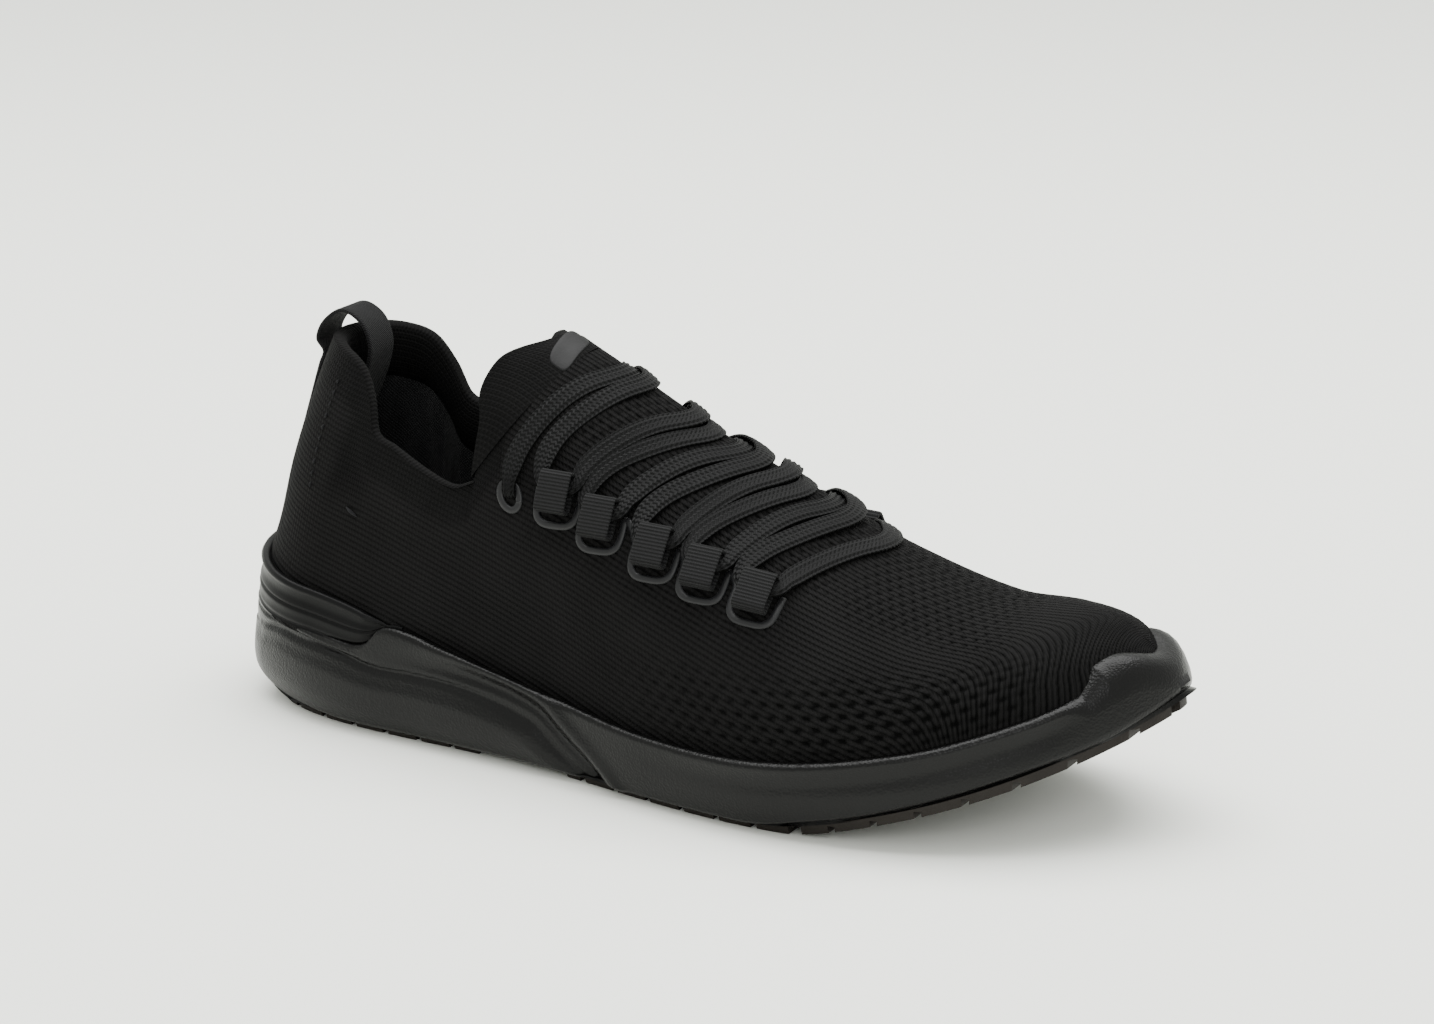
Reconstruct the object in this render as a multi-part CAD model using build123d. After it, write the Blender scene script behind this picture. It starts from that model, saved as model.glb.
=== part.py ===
from build123d import *
from functools import cache
import math
import os

# Right running shoe with a one-piece knit bootie upper, laced through webbing loops.
# Frame: +X towards the toe, +Y towards the medial side, +Z up; the sole stands on z = 0.
# Places along the shoe are given as a station, in mm from the back of the heel.

LENGTH = 300.0
CENTRING = (0.73, 3.28)      # puts the middle of the finished shoe's box over the origin
REACH = 90.0                 # half length of a tool body that cuts right across the shoe

OUTSOLE_THICK = 3.0
LUG_DEPTH = 1.6
KNIT_THICK = 2.0
COUNTER_THICK = 1.5
PADDING_THICK = 4.0
LINING_THICK = 1.0
BOARD_THICK = 1.2
SOCKLINER_THICK = 4.0
GLUE_GAP = 0.1               # room between bonded pieces
JOINT_GAP = 0.4              # room between pieces on the two sides of a flex line

FLEX_STATION = 208.0         # ball of the foot: the sole bends here
FLEX_HEIGHT = 24.0
CREASE_REAR_ANGLE = 9.0      # degrees from upright of the crease's rear and front faces
CREASE_FRONT_ANGLE = 41.0

TONGUE_HINGE = (113.5, 116.4)
TONGUE_ROOT = (91.0, 82.5)
TONGUE_RELIEF = 9.0          # degrees of room behind the tongue's flex line
TONGUE_THICK = 4.0

CAGE_THICK = 3.0
CAGE_RIDGE_DEPTH = 0.8
EYESTAY_THICK = 0.5

LOOP_WIDTH = 9.8
LOOP_HEIGHT = 12.5
LOOP_DEPTH = 5.2
LOOP_WALL = 0.9
LACE_DIAMETER = 2.2
EYELET = (104.5, 31)         # station and angle on the section, as for the loops below
EYELET_DIAMETER = 4.4
LACE_REACH = 6.3             # from a loop's middle to where the lace turns
LACE_TAIL = [(112, 27, -5.5), (122, 24, -6)]
AGLET_LENGTH = 16.0
AGLET_DIAMETER = 2.8

# Lace loops on each side, heel to toe: station, angle on the section. Rows: station at the ridge.
LOOPS = [(120.5, 38), (135.7, 39), (154.1, 40.5), (170.3, 42), (187, 43)]
ROW_RIDGE = [128, 151, 166, 179.5, 194, 209]

TAPE_WIDTH = 12.5
TAPE_THICK = 1.3

# Outer edge of the sole seen from above: station, y. Lateral side from heel to toe, then back.
SOLE_LATERAL = [(4, -17), (15, -28.5), (40, -38), (80, -41), (120, -44.5), (160, -52.5),
                (200, -56), (236, -49.5), (262, -37.5), (282, -21), (294, -6)]
SOLE_MEDIAL = [(294, 25), (280, 36.5), (255, 46.5), (225, 49.5), (195, 46), (160, 38),
               (120, 33), (80, 34.5), (40, 35), (15, 28), (4, 18)]
HEEL_BACK = (0, 0)
TOE_TIP = (300, 10)

# Height of the ground face, of the foot's bed and of the sole's top edge: station, z.
GROUND_TOE = [(200, 0), (222, 4.0), (243, 10.5), (262, 17.5), (280, 25.5), (293, 32.5), (304, 40)]
BED = [(-5, 31), (40, 30), (80, 27), (120, 21.5), (160, 17), (200, 16.5), (240, 22), (265, 29.5),
       (285, 36.5), (304, 43)]
RIM = [(-5, 34), (15, 32), (35, 30), (52, 27.5), (59, 29.2), (64, 34.3), (72, 34.4), (84, 32.2),
       (120, 26), (160, 21.5), (200, 22.3), (240, 29.5), (268, 38.5), (281, 44)]
CAGE_TOP = [(-5, 46.5), (8, 46), (23, 43.5), (40, 41), (54, 38), (63.5, 34.5)]
BUMPER = [(286, 50.5), (292, 53), (299, 50), (305, 44)]

# Upper: lateral and medial edges, height of the widest line, ridge height and ridge offset.
UPPER_BASE = [(85, 32.5), (120, 26), (160, 21.5), (200, 22.3), (240, 28.5), (268, 34), (284, 36),
              (295, 36)]
UPPER_LATERAL = [(90, -36.5), (120, -40), (160, -48), (200, -52), (235, -46.5), (258, -36),
                 (273, -24.5), (284, -12), (291, -1), (295, 5)]
UPPER_MEDIAL = [(90, 31), (120, 30), (160, 35), (200, 43), (235, 45.5), (258, 41), (273, 34.5),
                (284, 27.5), (291, 20.5), (295, 15)]
RIDGE_HEIGHT = [(85, 133), (100, 123), (120, 112.5), (150, 96.5), (180, 83), (210, 69.5),
                (240, 60), (262, 60), (278, 58), (287, 52), (292, 47.5), (295, 44)]
RIDGE_OFFSET = [(85, 2), (150, 4), (200, 6), (240, 8), (270, 9.5), (295, 10)]
FRONT_STATIONS = [92, 105, 120, 140, 160, 180, 200, 220, 240, 256, 269, 280, 288, 293]

# Heel: back line, lateral half width and medial half width, by height.
HEEL_LINE = [(5, 4), (30, 4), (46, 6.5), (56, 9.5), (74, 14), (93, 20), (105, 24), (116, 28.5)]
HEEL_LATERAL = [(5, 36), (45, 35.5), (60, 33), (75, 31), (90, 27.5), (106, 22), (116, 19.5)]
HEEL_MEDIAL = [(5, 32), (45, 32), (60, 30.5), (75, 29), (90, 26.5), (106, 22), (116, 19.5)]
HEEL_ROUNDING = [(5, 33), (60, 30), (116, 22)]
HEEL_HEIGHTS = [5, 25, 40, 55, 70, 85, 98, 108, 120]

# Edge of the collar opening and of the tongue's free top, seen from the side: station, z.
COLLAR = [(26, 113), (38, 111), (47, 107), (52, 99), (55, 90), (62, 86.5), (75, 81), (85, 78.5),
          (92, 81)]
TONGUE_EDGE = [(91, 98), (89.5, 106), (92, 114), (97, 119), (103, 122)]


def x_of(station):
    return station - LENGTH / 2


def value_at(table, where):
    """Smooth curve through a table's points, read at one place."""
    last = len(table) - 2
    i = max(0, min(last, sum(1 for point in table if point[0] <= where) - 1))

    def slope(k):
        a = table[max(k - 1, 0)]
        b = table[min(k + 1, len(table) - 1)]
        return (b[1] - a[1]) / (b[0] - a[0])

    (x0, y0), (x1, y1) = table[i], table[i + 1]
    run = x1 - x0
    t = (where - x0) / run
    if t < 0 or t > 1:
        return y0 + slope(i) * (where - x0) if t < 0 else y1 + slope(i + 1) * (where - x1)
    start = y0 * (1 + 2 * t) * (1 - t) ** 2 + run * slope(i) * t * (1 - t) ** 2
    end = y1 * t * t * (3 - 2 * t) - run * slope(i + 1) * t * t * (1 - t)
    return start + end


def smooth_step(t):
    t = max(0.0, min(1.0, t))
    return t * t * (3 - 2 * t)


def side_point(station, z):
    return (x_of(station), z)


def across(points, smooth=False):
    """Body across the whole shoe whose side view is the closed outline of the points."""
    corners = [side_point(*p) for p in points]
    face = Plane.XZ * make_face(Polyline(*corners, close=True))
    return extrude(face, amount=REACH, both=True)


def band_across(lower, upper):
    """Body across the shoe between two side-view curves given from heel to toe."""
    low = Spline(*[side_point(*p) for p in lower])
    top = Spline(*[side_point(*p) for p in upper])
    ends = [Line(low @ 0, top @ 0), Line(low @ 1, top @ 1)]
    face = Plane.XZ * make_face([low, top, *ends])
    return extrude(face, amount=REACH, both=True)


def lifted(table, rise):
    return [(s, z + rise) for s, z in table]


def sole_outline(inset):
    """Plan outline of the sole, drawn in by the inset."""
    points = [HEEL_BACK, *SOLE_LATERAL, TOE_TIP, *SOLE_MEDIAL]
    long_scale = 1 - inset / (LENGTH / 2)
    wide_scale = 1 - inset / 48
    return Spline(*[(x_of(s) * long_scale, y * wide_scale) for s, y in points], periodic=True)


def sole_block(inset=0.0):
    """Full-height block with the sole's plan shape; its wall bulges a little at mid height."""
    levels = [(-2, 4.5), (8, 1.2), (22, 0), (38, 1.2), (62, 6.5)]
    faces = [Pos(0, 0, z) * make_face(sole_outline(draw + inset)) for z, draw in levels]
    return loft(faces)


def heel_half_width(station, z, medial):
    side = HEEL_MEDIAL if medial else HEEL_LATERAL
    from_back = max(0.0, station - value_at(HEEL_LINE, z))
    t = min(1.0, from_back / value_at(HEEL_ROUNDING, z))
    return value_at(side, z) * math.sqrt(1 - (1 - t) ** 2)


def vamp_point(station, angle, medial, inset):
    """Point of the cross-section at a station; the angle is 0 at the sole and 90 at the ridge."""
    edge = value_at(UPPER_MEDIAL if medial else UPPER_LATERAL, station)
    middle = value_at(RIDGE_OFFSET, station)
    base = value_at(UPPER_BASE, station)
    half = abs(edge - middle) - inset
    height = value_at(RIDGE_HEIGHT, station) - inset - base
    across_part = half * math.cos(math.radians(angle)) ** (2 / 1.8)
    up_part = height * math.sin(math.radians(angle)) ** (2 / 2.2)
    return (middle + (across_part if medial else -across_part), base + up_part)


def side_half_width(station, z, medial, inset):
    """Half width of the rear upper, easing from the heel's shape into the vamp's."""
    heel = heel_half_width(station, z, medial)
    edge = value_at(UPPER_MEDIAL if medial else UPPER_LATERAL, max(station, 90))
    middle = value_at(RIDGE_OFFSET, station)
    base = value_at(UPPER_BASE, 92)
    rise = max(0.0, min(0.98, (z - base) / (value_at(RIDGE_HEIGHT, 92) - base)))
    vamp = abs(edge - middle) * (1 - rise ** 2.2) ** (1 / 1.8)
    vamp += middle if medial else -middle
    ease = smooth_step((station - 50) / 42)
    return heel * (1 - ease) + vamp * ease - inset


def rear_volume(inset):
    """Solid inside the rear upper's surface, drawn in by the inset."""
    faces = []
    front = 93.0 + max(inset, 0)
    for z in HEEL_HEIGHTS:
        back = value_at(HEEL_LINE, z) + inset
        stations = [back + (front - back) * t for t in (0.02, 0.1, 0.24, 0.42, 0.62, 0.82, 1)]
        sides = []
        for medial in (True, False):
            sign = 1 if medial else -1
            sides.append([(x_of(s), sign * max(1.5, side_half_width(s - inset, z, medial, inset)))
                          for s in stations])
        loop = Spline(*reversed(sides[1]), (x_of(back), 0), *sides[0])
        faces.append(Pos(0, 0, z) * make_face([loop, Line(loop @ 1, loop @ 0)]))
    return loft(faces)


def front_volume(inset):
    """Solid inside the front upper's surface, drawn in by the inset."""
    faces = []
    angles = [0, 20, 40, 58, 75]
    for s in FRONT_STATIONS:
        station = s if s < 200 else s - inset * (s - 200) / 93
        lateral = [vamp_point(s, a, False, inset) for a in angles]
        medial = [vamp_point(s, a, True, inset) for a in reversed(angles)]
        ridge = vamp_point(s, 90, True, inset)
        foot = [(lateral[0][0], 5), (medial[-1][0], 5)]
        arch = Spline(*lateral, ridge, *medial)
        base = Polyline(arch @ 1, foot[1], foot[0], arch @ 0)
        faces.append(Pos(x_of(station), 0, 0) * (Plane.YZ * make_face([arch, *base.edges()])))
    return loft(faces)


@cache
def last_volume(inset):
    """Everything inside the upper's surface, drawn in by the inset."""
    return rear_volume(inset) + front_volume(inset)


def layer(outer, inner, zone):
    """Layer of the upper between two depths below its outer surface, within a zone."""
    return (last_volume(outer) & zone) - last_volume(inner)


def side_body(*edges):
    """Body across the shoe whose side view is bounded by the edges."""
    return extrude(Plane.XZ * make_face(list(edges)), amount=REACH, both=True)


def side_edges(table, rise=0.0):
    return Spline(*[side_point(s, z + rise) for s, z in table])


def closing(*points):
    return list(Polyline(*points).edges())


def ground_edges(rise):
    """Ground face seen from the side: heel bevel, flat stretch and toe spring."""
    flat_rear = side_point(24, rise)
    flat_front = side_point(200, rise)
    heel = Spline(side_point(-4, 18 + rise), side_point(8, 5.5 + rise), flat_rear,
                  tangents=[(1, -1.3), (1, 0)])
    toe = Spline(*[side_point(s, z + rise) for s, z in GROUND_TOE], tangents=[(1, 0), (1, 0.8)])
    return [heel, Line(flat_rear, flat_front), toe]


def bed_and_above(rise=0.0):
    """Everything from the foot's bed up."""
    bed = side_edges(BED, rise)
    return side_body(bed, *closing(bed @ 1, (180, 160), (-180, 160), bed @ 0))


def bed_layer(low, high):
    lower = side_edges(BED, low)
    upper = side_edges(BED, high)
    return side_body(lower, upper, Line(lower @ 0, upper @ 0), Line(lower @ 1, upper @ 1))


def forward_of(angle, clearance=0.0):
    """Everything ahead of the flex line; above it the cut leans forward by the angle."""
    start = x_of(FLEX_STATION) + clearance
    lean = math.tan(math.radians(angle)) * (160 - FLEX_HEIGHT)
    return extrude(Plane.XZ * make_face(Polyline((start, -20), (start, FLEX_HEIGHT),
                                                 (start + lean, 160), (400, 160), (400, -20),
                                                 close=True)), amount=REACH, both=True)


def sole_profile():
    ground = ground_edges(OUTSOLE_THICK)
    rim = side_edges(RIM)
    bumper = side_edges(BUMPER)
    joins = [Line(rim @ 1, bumper @ 0), Line(rim @ 0, ground[0] @ 0),
             Line(bumper @ 1, ground[-1] @ 1)]
    return side_body(*ground, rim, bumper, *joins)


def midsole():
    body = sole_block() & sole_profile()
    return body - (last_volume(-GLUE_GAP) & bed_and_above())


def plan_area(*points):
    """Upright body over a plan outline of stations and y."""
    face = make_face(Polyline(*[(x_of(s), y) for s, y in points], close=True))
    return extrude(face, amount=60)


def tread_layer():
    """Rubber under the whole sole, crossed by grooves, before it is cut into pads."""
    lower = ground_edges(0)
    upper = ground_edges(OUTSOLE_THICK - 0.02)
    joins = [Line(lower[0] @ 0, upper[0] @ 0), Line(lower[-1] @ 1, upper[-1] @ 1)]
    layer = sole_block(2.2) & side_body(*lower, *upper, *joins)
    for k in range(24):
        station = 14 + 12 * k
        rise = LUG_DEPTH + (value_at(GROUND_TOE, station + 1) if station > 200 else 0)
        slot = Pos(x_of(station), 0, rise - 10) * Box(2.0, 2 * REACH, 20)
        layer -= slot
    return layer


def outsole_pads():
    """Separate rubber pads, with bare foam down the middle and at the arch."""
    rubber = tread_layer()
    lateral_heel = plan_area((-5, -4), (-5, -60), (104, -60), (92, -26), (60, -15))
    medial_heel = plan_area((-5, 4), (-5, 60), (88, 60), (80, 24), (60, 15))
    lateral_ball = plan_area((132, -22), (124, -60), (FLEX_STATION - 1, -60), (FLEX_STATION - 1, -5))
    medial_ball = plan_area((140, 16), (134, 60), (FLEX_STATION - 1, 60), (FLEX_STATION - 1, 5))
    lateral_toe = plan_area((FLEX_STATION + 1, -5), (FLEX_STATION + 1, -60), (310, -60), (310, 4),
                            (285, 4))
    medial_toe = plan_area((FLEX_STATION + 1, 5), (FLEX_STATION + 1, 60), (310, 60), (310, 8),
                           (285, 8))
    return {
        "outsole_heel_lateral": rubber & lateral_heel,
        "outsole_heel_medial": rubber & medial_heel,
        "outsole_ball_lateral": rubber & lateral_ball,
        "outsole_ball_medial": rubber & medial_ball,
        "outsole_toe_lateral": rubber & lateral_toe,
        "outsole_toe_medial": rubber & medial_toe,
    }


def upper_extent():
    """Side view of the upper: the bed below, the collar and tongue edges above."""
    bed = side_edges(BED)
    edge = side_edges([*COLLAR, *TONGUE_EDGE])
    top = closing(edge @ 1, side_point(108, 145), (180, 145), bed @ 1)
    return side_body(bed, edge, *top, *closing(bed @ 0, side_point(-5, 113.5), edge @ 0))


def collar_band(low, high):
    """Band that follows the collar's edge, given by its heights relative to that edge."""
    lower = side_edges(COLLAR, low)
    upper = side_edges(COLLAR, high)
    rear = closing(lower @ 0, side_point(10, 113 + low), side_point(10, 113 + high), upper @ 0)
    return side_body(lower, upper, *rear, Line(lower @ 1, upper @ 1))


def turned(point, about, degrees):
    """Side-view point turned anticlockwise about another."""
    a = math.radians(degrees)
    dx, dz = point[0] - about[0], point[1] - about[1]
    return (about[0] + dx * math.cos(a) - dz * math.sin(a),
            about[1] + dx * math.sin(a) + dz * math.cos(a))


def tongue_zone(relief):
    root = turned(TONGUE_ROOT, TONGUE_HINGE, -relief)
    return across([TONGUE_HINGE, root, (84, 93), (80, 145), (122, 145)])


def vamp_frame(station, angle, medial):
    """Place on the vamp's surface, its direction towards the ridge and its outward normal."""
    def place(s, a):
        return Vector(x_of(s), *vamp_point(s, a, medial, 0))

    up = (place(station, angle + 1) - place(station, angle - 1)).normalized()
    ahead = (place(station + 1, angle) - place(station - 1, angle)).normalized()
    out = up.cross(ahead) if medial else ahead.cross(up)
    return place(station, angle), up, out.normalized()


def lifted_place(station, turn, lift):
    """Point above the vamp; the turn runs from 0 at the lateral edge to 180 at the medial one."""
    medial = turn > 90
    angle = min(180 - turn if medial else turn, 88.5)
    place, _, out = vamp_frame(station, angle, medial)
    return place + out * lift


def loop_frame(index, medial):
    place, up, out = vamp_frame(*LOOPS[index], medial)
    along = up.cross(out)
    if along.X < 0:
        along = -along
    return place + out * (EYESTAY_THICK + 0.4), up, out, along


def lace_loop(index, medial):
    """Webbing folded into a flat loop; the lace runs through it along the shoe."""
    place, up, out, _ = loop_frame(index, medial)
    plane = Plane(origin=place + out * (LOOP_DEPTH / 2), x_dir=up, z_dir=up.cross(out))
    outer = SlotOverall(LOOP_HEIGHT, LOOP_DEPTH)
    inner = SlotOverall(LOOP_HEIGHT - 2.8, LOOP_DEPTH - 2 * LOOP_WALL)
    return extrude(plane * (outer - inner), amount=LOOP_WIDTH / 2, both=True)


def eyelet_hole(medial):
    place, up, out = vamp_frame(*EYELET, medial)
    return Plane(origin=place, x_dir=up, z_dir=out) * Cylinder(EYELET_DIAMETER / 2, 16)


def eyestay(medial):
    """Thin welded film round the loops' feet and the top eyelet."""
    strip = across([(97, 84), (99, 92), (122, 90), (160, 75), (192, 64), (198, 56), (188, 55),
                    (168, 60), (150, 65), (118, 74), (104, 73)])
    for station, angle in LOOPS:
        foot = vamp_point(station - 0.5, angle - 6, medial, 0)
        strip += Plane.XZ * Pos(x_of(station - 0.5), foot[1], 0) * Cylinder(7.2, 2 * REACH)
    side = Pos(0, 45 if medial else -45, 0) * Box(400, 80, 400)
    return layer(-EYESTAY_THICK, -0.05, strip & side) - eyelet_hole(medial)


def loop_ends(index, medial):
    """Where the lace turns behind and ahead of a loop."""
    place, up, out, along = loop_frame(index, medial)
    middle = place + out * (LOOP_DEPTH / 2) + up * 0.8
    return middle - along * LACE_REACH, middle + along * LACE_REACH


def crossing(row, from_loop, to_loop, from_medial, lift):
    """Lace points over the ridge between two places on opposite sides."""
    start = LOOPS[from_loop] if from_loop >= 0 else EYELET
    finish = LOOPS[to_loop] if to_loop >= 0 else EYELET
    start_station = start[0] + LACE_REACH * (1 if from_loop == row - 1 else -1) * (from_loop >= 0)
    end_station = finish[0] + LACE_REACH * (1 if to_loop == row - 1 else -1) * (to_loop >= 0)
    bump = ROW_RIDGE[row] - (start_station + end_station) / 2
    clear_of_loop = 0.17
    points = []
    for share in (clear_of_loop, 0.34, 0.5, 0.66, 1 - clear_of_loop):
        turn = start[1] + (180 - start[1] - finish[1]) * share
        station = start_station + (end_station - start_station) * share
        swing = (share - clear_of_loop) / (1 - 2 * clear_of_loop)
        station += bump * math.sin(math.pi * swing)
        rise = 2.3 + lift * math.sin(math.pi * share)
        points.append(lifted_place(station, 180 - turn if from_medial else turn, rise))
    return points


def lace_end(medial):
    """Tail tucked inside, then out through the top eyelet."""
    side = [(s, 180 - a if medial else a, lift) for s, a, lift in LACE_TAIL]
    hole = [(EYELET[0], 180 - EYELET[1] if medial else EYELET[1], lift) for lift in (-4.5, 2.6)]
    return [lifted_place(*p) for p in [*reversed(side), *hole]]


def lace_route():
    """One lace from the lateral eyelet down to the last row and back up to the medial eyelet."""
    route = lace_end(False)
    medial = False
    for row in range(5):
        route += crossing(row, row - 1, row, medial, 0.0)
        medial = not medial
        route += loop_ends(row, medial)
    route += crossing(5, 4, 4, medial, 0.0)
    medial = not medial
    for row in reversed(range(5)):
        route += reversed(loop_ends(row, medial))
        route += crossing(row, row, row - 1, medial, 2.6)
        medial = not medial
    return route + list(reversed(lace_end(True)))


def corner_radii(points):
    """Largest easy arc at each corner of a route."""
    radii = []
    for a, b, c in zip(points, points[1:], points[2:]):
        turn = math.radians((b - a).get_angle(c - b))
        shorter = min((b - a).length, (c - b).length)
        radii.append(0.45 * shorter / math.tan(turn / 2))
    return radii


def lace():
    route = lace_route()
    radii = corner_radii(route)
    path = FilletPolyline(*route, radius=radii)
    start = Plane(origin=path @ 0, z_dir=path % 0)
    solid = sweep(start * Circle(LACE_DIAMETER / 2), path=path)
    expected = math.pi * LACE_DIAMETER ** 2 / 4 * path.length
    print(f"lace {path.length:.0f} mm, least radius {min(radii):.1f},",
          f"volume {solid.volume:.0f} of {expected:.0f}")
    return solid


def aglet(medial):
    """Plastic tip on the tucked end of the lace."""
    end, before = lace_end(medial)[:2]
    direction = (end - before).normalized()
    plane = Plane(origin=end + direction * 0.05, z_dir=direction)
    return extrude(plane * Circle(AGLET_DIAMETER / 2), amount=AGLET_LENGTH)


def pull_tab_loop():
    """Standing part of the tape, from above the outer leg over to above the inner leg."""
    outer = Spline(*[side_point(*p) for p in
                     [(20.6, 108.6), (23.4, 115.6), (30.5, 119.8), (37.9, 116.6), (40.8, 108.6)]])
    inner = Spline(*[side_point(*p) for p in
                     [(21.9, 108.6), (24.6, 114.8), (30.5, 118.5), (36.8, 115.7), (39.5, 108.6)]])
    face = make_face([outer, inner, Line(outer @ 0, inner @ 0), Line(outer @ 1, inner @ 1)])
    return extrude(Plane.XZ * face, amount=TAPE_WIDTH / 2, both=True)


def pull_tab_inner_leg():
    leg = [(39.4, 106), (40.7, 106), (28.8, 78), (27.5, 78)]
    return extrude(Plane.XZ * make_face(Polyline(*[side_point(*p) for p in leg], close=True)),
                   amount=TAPE_WIDTH / 2, both=True)


def upper_parts():
    """The one knit piece, cut where the sole bends and where the tongue folds."""
    knit = layer(0, KNIT_THICK, upper_extent())
    ahead = forward_of(CREASE_FRONT_ANGLE)
    crease = knit & forward_of(CREASE_REAR_ANGLE)
    holes = eyelet_hole(True) + eyelet_hole(False)
    tongue = layer(0, TONGUE_THICK, upper_extent() & tongue_zone(TONGUE_RELIEF))
    patch = across([(99, 112), (104, 124), (113, 119.5), (108, 110)])
    patch &= Pos(0, -3, 0) * Box(400, 22, 400)
    return {
        "upper_rear": knit - forward_of(CREASE_REAR_ANGLE, -JOINT_GAP) - tongue_zone(0) - holes,
        "upper_crease": crease - forward_of(CREASE_FRONT_ANGLE, -JOINT_GAP),
        "upper_forefoot": knit & ahead,
        "tongue_top": tongue,
        "tongue_patch": layer(-0.4, -0.05, patch & tongue_zone(TONGUE_RELIEF)),
    }


def sole_parts():
    foam = midsole()
    low = KNIT_THICK + 0.2
    liner_low = BOARD_THICK + 0.2
    return {
        "midsole_rear": foam - forward_of(0, -JOINT_GAP),
        "midsole_forefoot": foam & forward_of(0),
        "strobel_board": last_volume(low) & bed_layer(0.1, 0.1 + BOARD_THICK),
        "sockliner": last_volume(low + 0.5) & bed_layer(liner_low, liner_low + SOCKLINER_THICK),
        **outsole_pads(),
    }


def inner_parts():
    """Stiffeners, padding and lining between the knit and the foot."""
    floor = bed_and_above(BOARD_THICK + SOCKLINER_THICK + 0.8)
    heel_cup = across([(-5, 20), (60, 20), (60, 66), (-5, 66)])
    lining_area = across([(-5, 20), (96, 20), (96, 72), (-5, 90)]) + collar_band(-40, -1.5)
    toe = across([(262, 20), (310, 20), (310, 90), (262, 90)])
    depth = KNIT_THICK + GLUE_GAP
    lining_depth = depth + PADDING_THICK + GLUE_GAP
    return {
        "heel_counter": layer(depth, depth + COUNTER_THICK, floor & heel_cup),
        "collar_padding": layer(depth, depth + PADDING_THICK, collar_band(-17, -1.5)),
        "heel_lining": layer(lining_depth, lining_depth + LINING_THICK, floor & lining_area),
        "toe_puff": layer(depth, depth + 1.0, floor & toe),
    }


def heel_cage():
    """Moulded band round the heel, between foam and knit, with one ridge line."""
    top = side_edges(CAGE_TOP)
    zone = side_body(top, *closing(top @ 1, side_point(63.5, 20), side_point(-5, 20), top @ 0))
    seat = side_edges(lifted(RIM, 2 * GLUE_GAP))
    zone -= side_body(seat, *closing(seat @ 1, side_point(290, 0), side_point(-10, 0), seat @ 0))
    low = side_edges(lifted(CAGE_TOP, -3.2))
    high = side_edges(lifted(CAGE_TOP, -2.2))
    ridge = side_body(low, high, Line(low @ 0, high @ 0), Line(low @ 1, high @ 1))
    cage = layer(-CAGE_THICK, -GLUE_GAP / 2, zone)
    return cage - (ridge - last_volume(CAGE_RIDGE_DEPTH - CAGE_THICK))


def lacing_parts():
    parts = {"lace": lace()}
    for medial in (False, True):
        side = "medial" if medial else "lateral"
        parts[f"eyestay_{side}"] = eyestay(medial)
        parts[f"aglet_{side}"] = aglet(medial)
        for index in range(len(LOOPS)):
            parts[f"lace_loop_{side}_{index + 1}"] = lace_loop(index, medial)
    return parts


def pull_tab_parts():
    outer_leg = across([(-5, 62), (40, 62), (40, 106), (-5, 106)])
    tape = Box(400, TAPE_WIDTH, 400)
    return {
        "pull_tab_outer_leg": layer(-TAPE_THICK - 0.1, -0.1, outer_leg & tape),
        "pull_tab_inner_leg": pull_tab_inner_leg(),
        "pull_tab_loop": pull_tab_loop(),
    }


def build():
    return {
        **upper_parts(),
        **sole_parts(),
        **inner_parts(),
        "heel_cage": heel_cage(),
        **lacing_parts(),
        **pull_tab_parts(),
    }


if __name__ == "__main__":
    os.makedirs("parts", exist_ok=True)
    for name, piece in build().items():
        solid = Pos(*CENTRING) * piece
        solid.label = name
        export_step(solid, f"parts/{name}.step")
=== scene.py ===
"""Looks of a knit running shoe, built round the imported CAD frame.

The frame is in metres: +X towards the toe, +Y towards the medial side, +Z up. The shape tables and
the functions that read them use the model's own design places, in mm: a station from the back of the
heel, y across the shoe and z above the ground. place() turns those into the frame.
"""

import math

import bmesh
import bpy
import numpy as np
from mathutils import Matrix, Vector


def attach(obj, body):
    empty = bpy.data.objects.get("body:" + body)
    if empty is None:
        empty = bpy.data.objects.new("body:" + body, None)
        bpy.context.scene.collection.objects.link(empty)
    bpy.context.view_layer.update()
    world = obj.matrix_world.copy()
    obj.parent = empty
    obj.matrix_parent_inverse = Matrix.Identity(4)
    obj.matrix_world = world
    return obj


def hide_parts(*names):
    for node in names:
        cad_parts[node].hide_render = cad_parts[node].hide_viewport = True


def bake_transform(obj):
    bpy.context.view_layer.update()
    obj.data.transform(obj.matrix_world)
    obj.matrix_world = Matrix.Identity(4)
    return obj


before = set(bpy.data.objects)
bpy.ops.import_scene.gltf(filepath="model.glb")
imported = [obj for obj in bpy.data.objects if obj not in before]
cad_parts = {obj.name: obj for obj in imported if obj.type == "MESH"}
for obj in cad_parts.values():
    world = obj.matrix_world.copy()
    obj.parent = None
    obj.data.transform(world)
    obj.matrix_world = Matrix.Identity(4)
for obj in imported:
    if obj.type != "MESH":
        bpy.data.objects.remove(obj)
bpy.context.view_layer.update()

# ---------------- shape tables, as in the CAD model
LENGTH = 300.0
CENTRING = (0.73, 3.28)
TONGUE_HINGE = (113.5, 116.4)
TONGUE_ROOT = (91.0, 82.5)
LOOP_WIDTH = 9.8
LOOP_HEIGHT = 12.5
LOOP_DEPTH = 5.2
LOOP_WALL = 0.9
EYESTAY_THICK = 0.5
EYELET = (104.5, 31)
LACE_REACH = 6.3
LACE_WIDTH = 6.3
STRAND_SPREAD = 3.3
LACE_TAIL = [(112, 27, -5.5), (122, 24, -6)]
LOOPS = [(120.5, 38), (135.7, 39), (154.1, 40.5), (170.3, 42), (187, 43)]
ROW_RIDGE = [128, 151, 166, 179.5, 194, 209]
TAPE_WIDTH = 12.5
TAPE_THICK = 1.3
REAR_FRONT = 92.0
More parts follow.
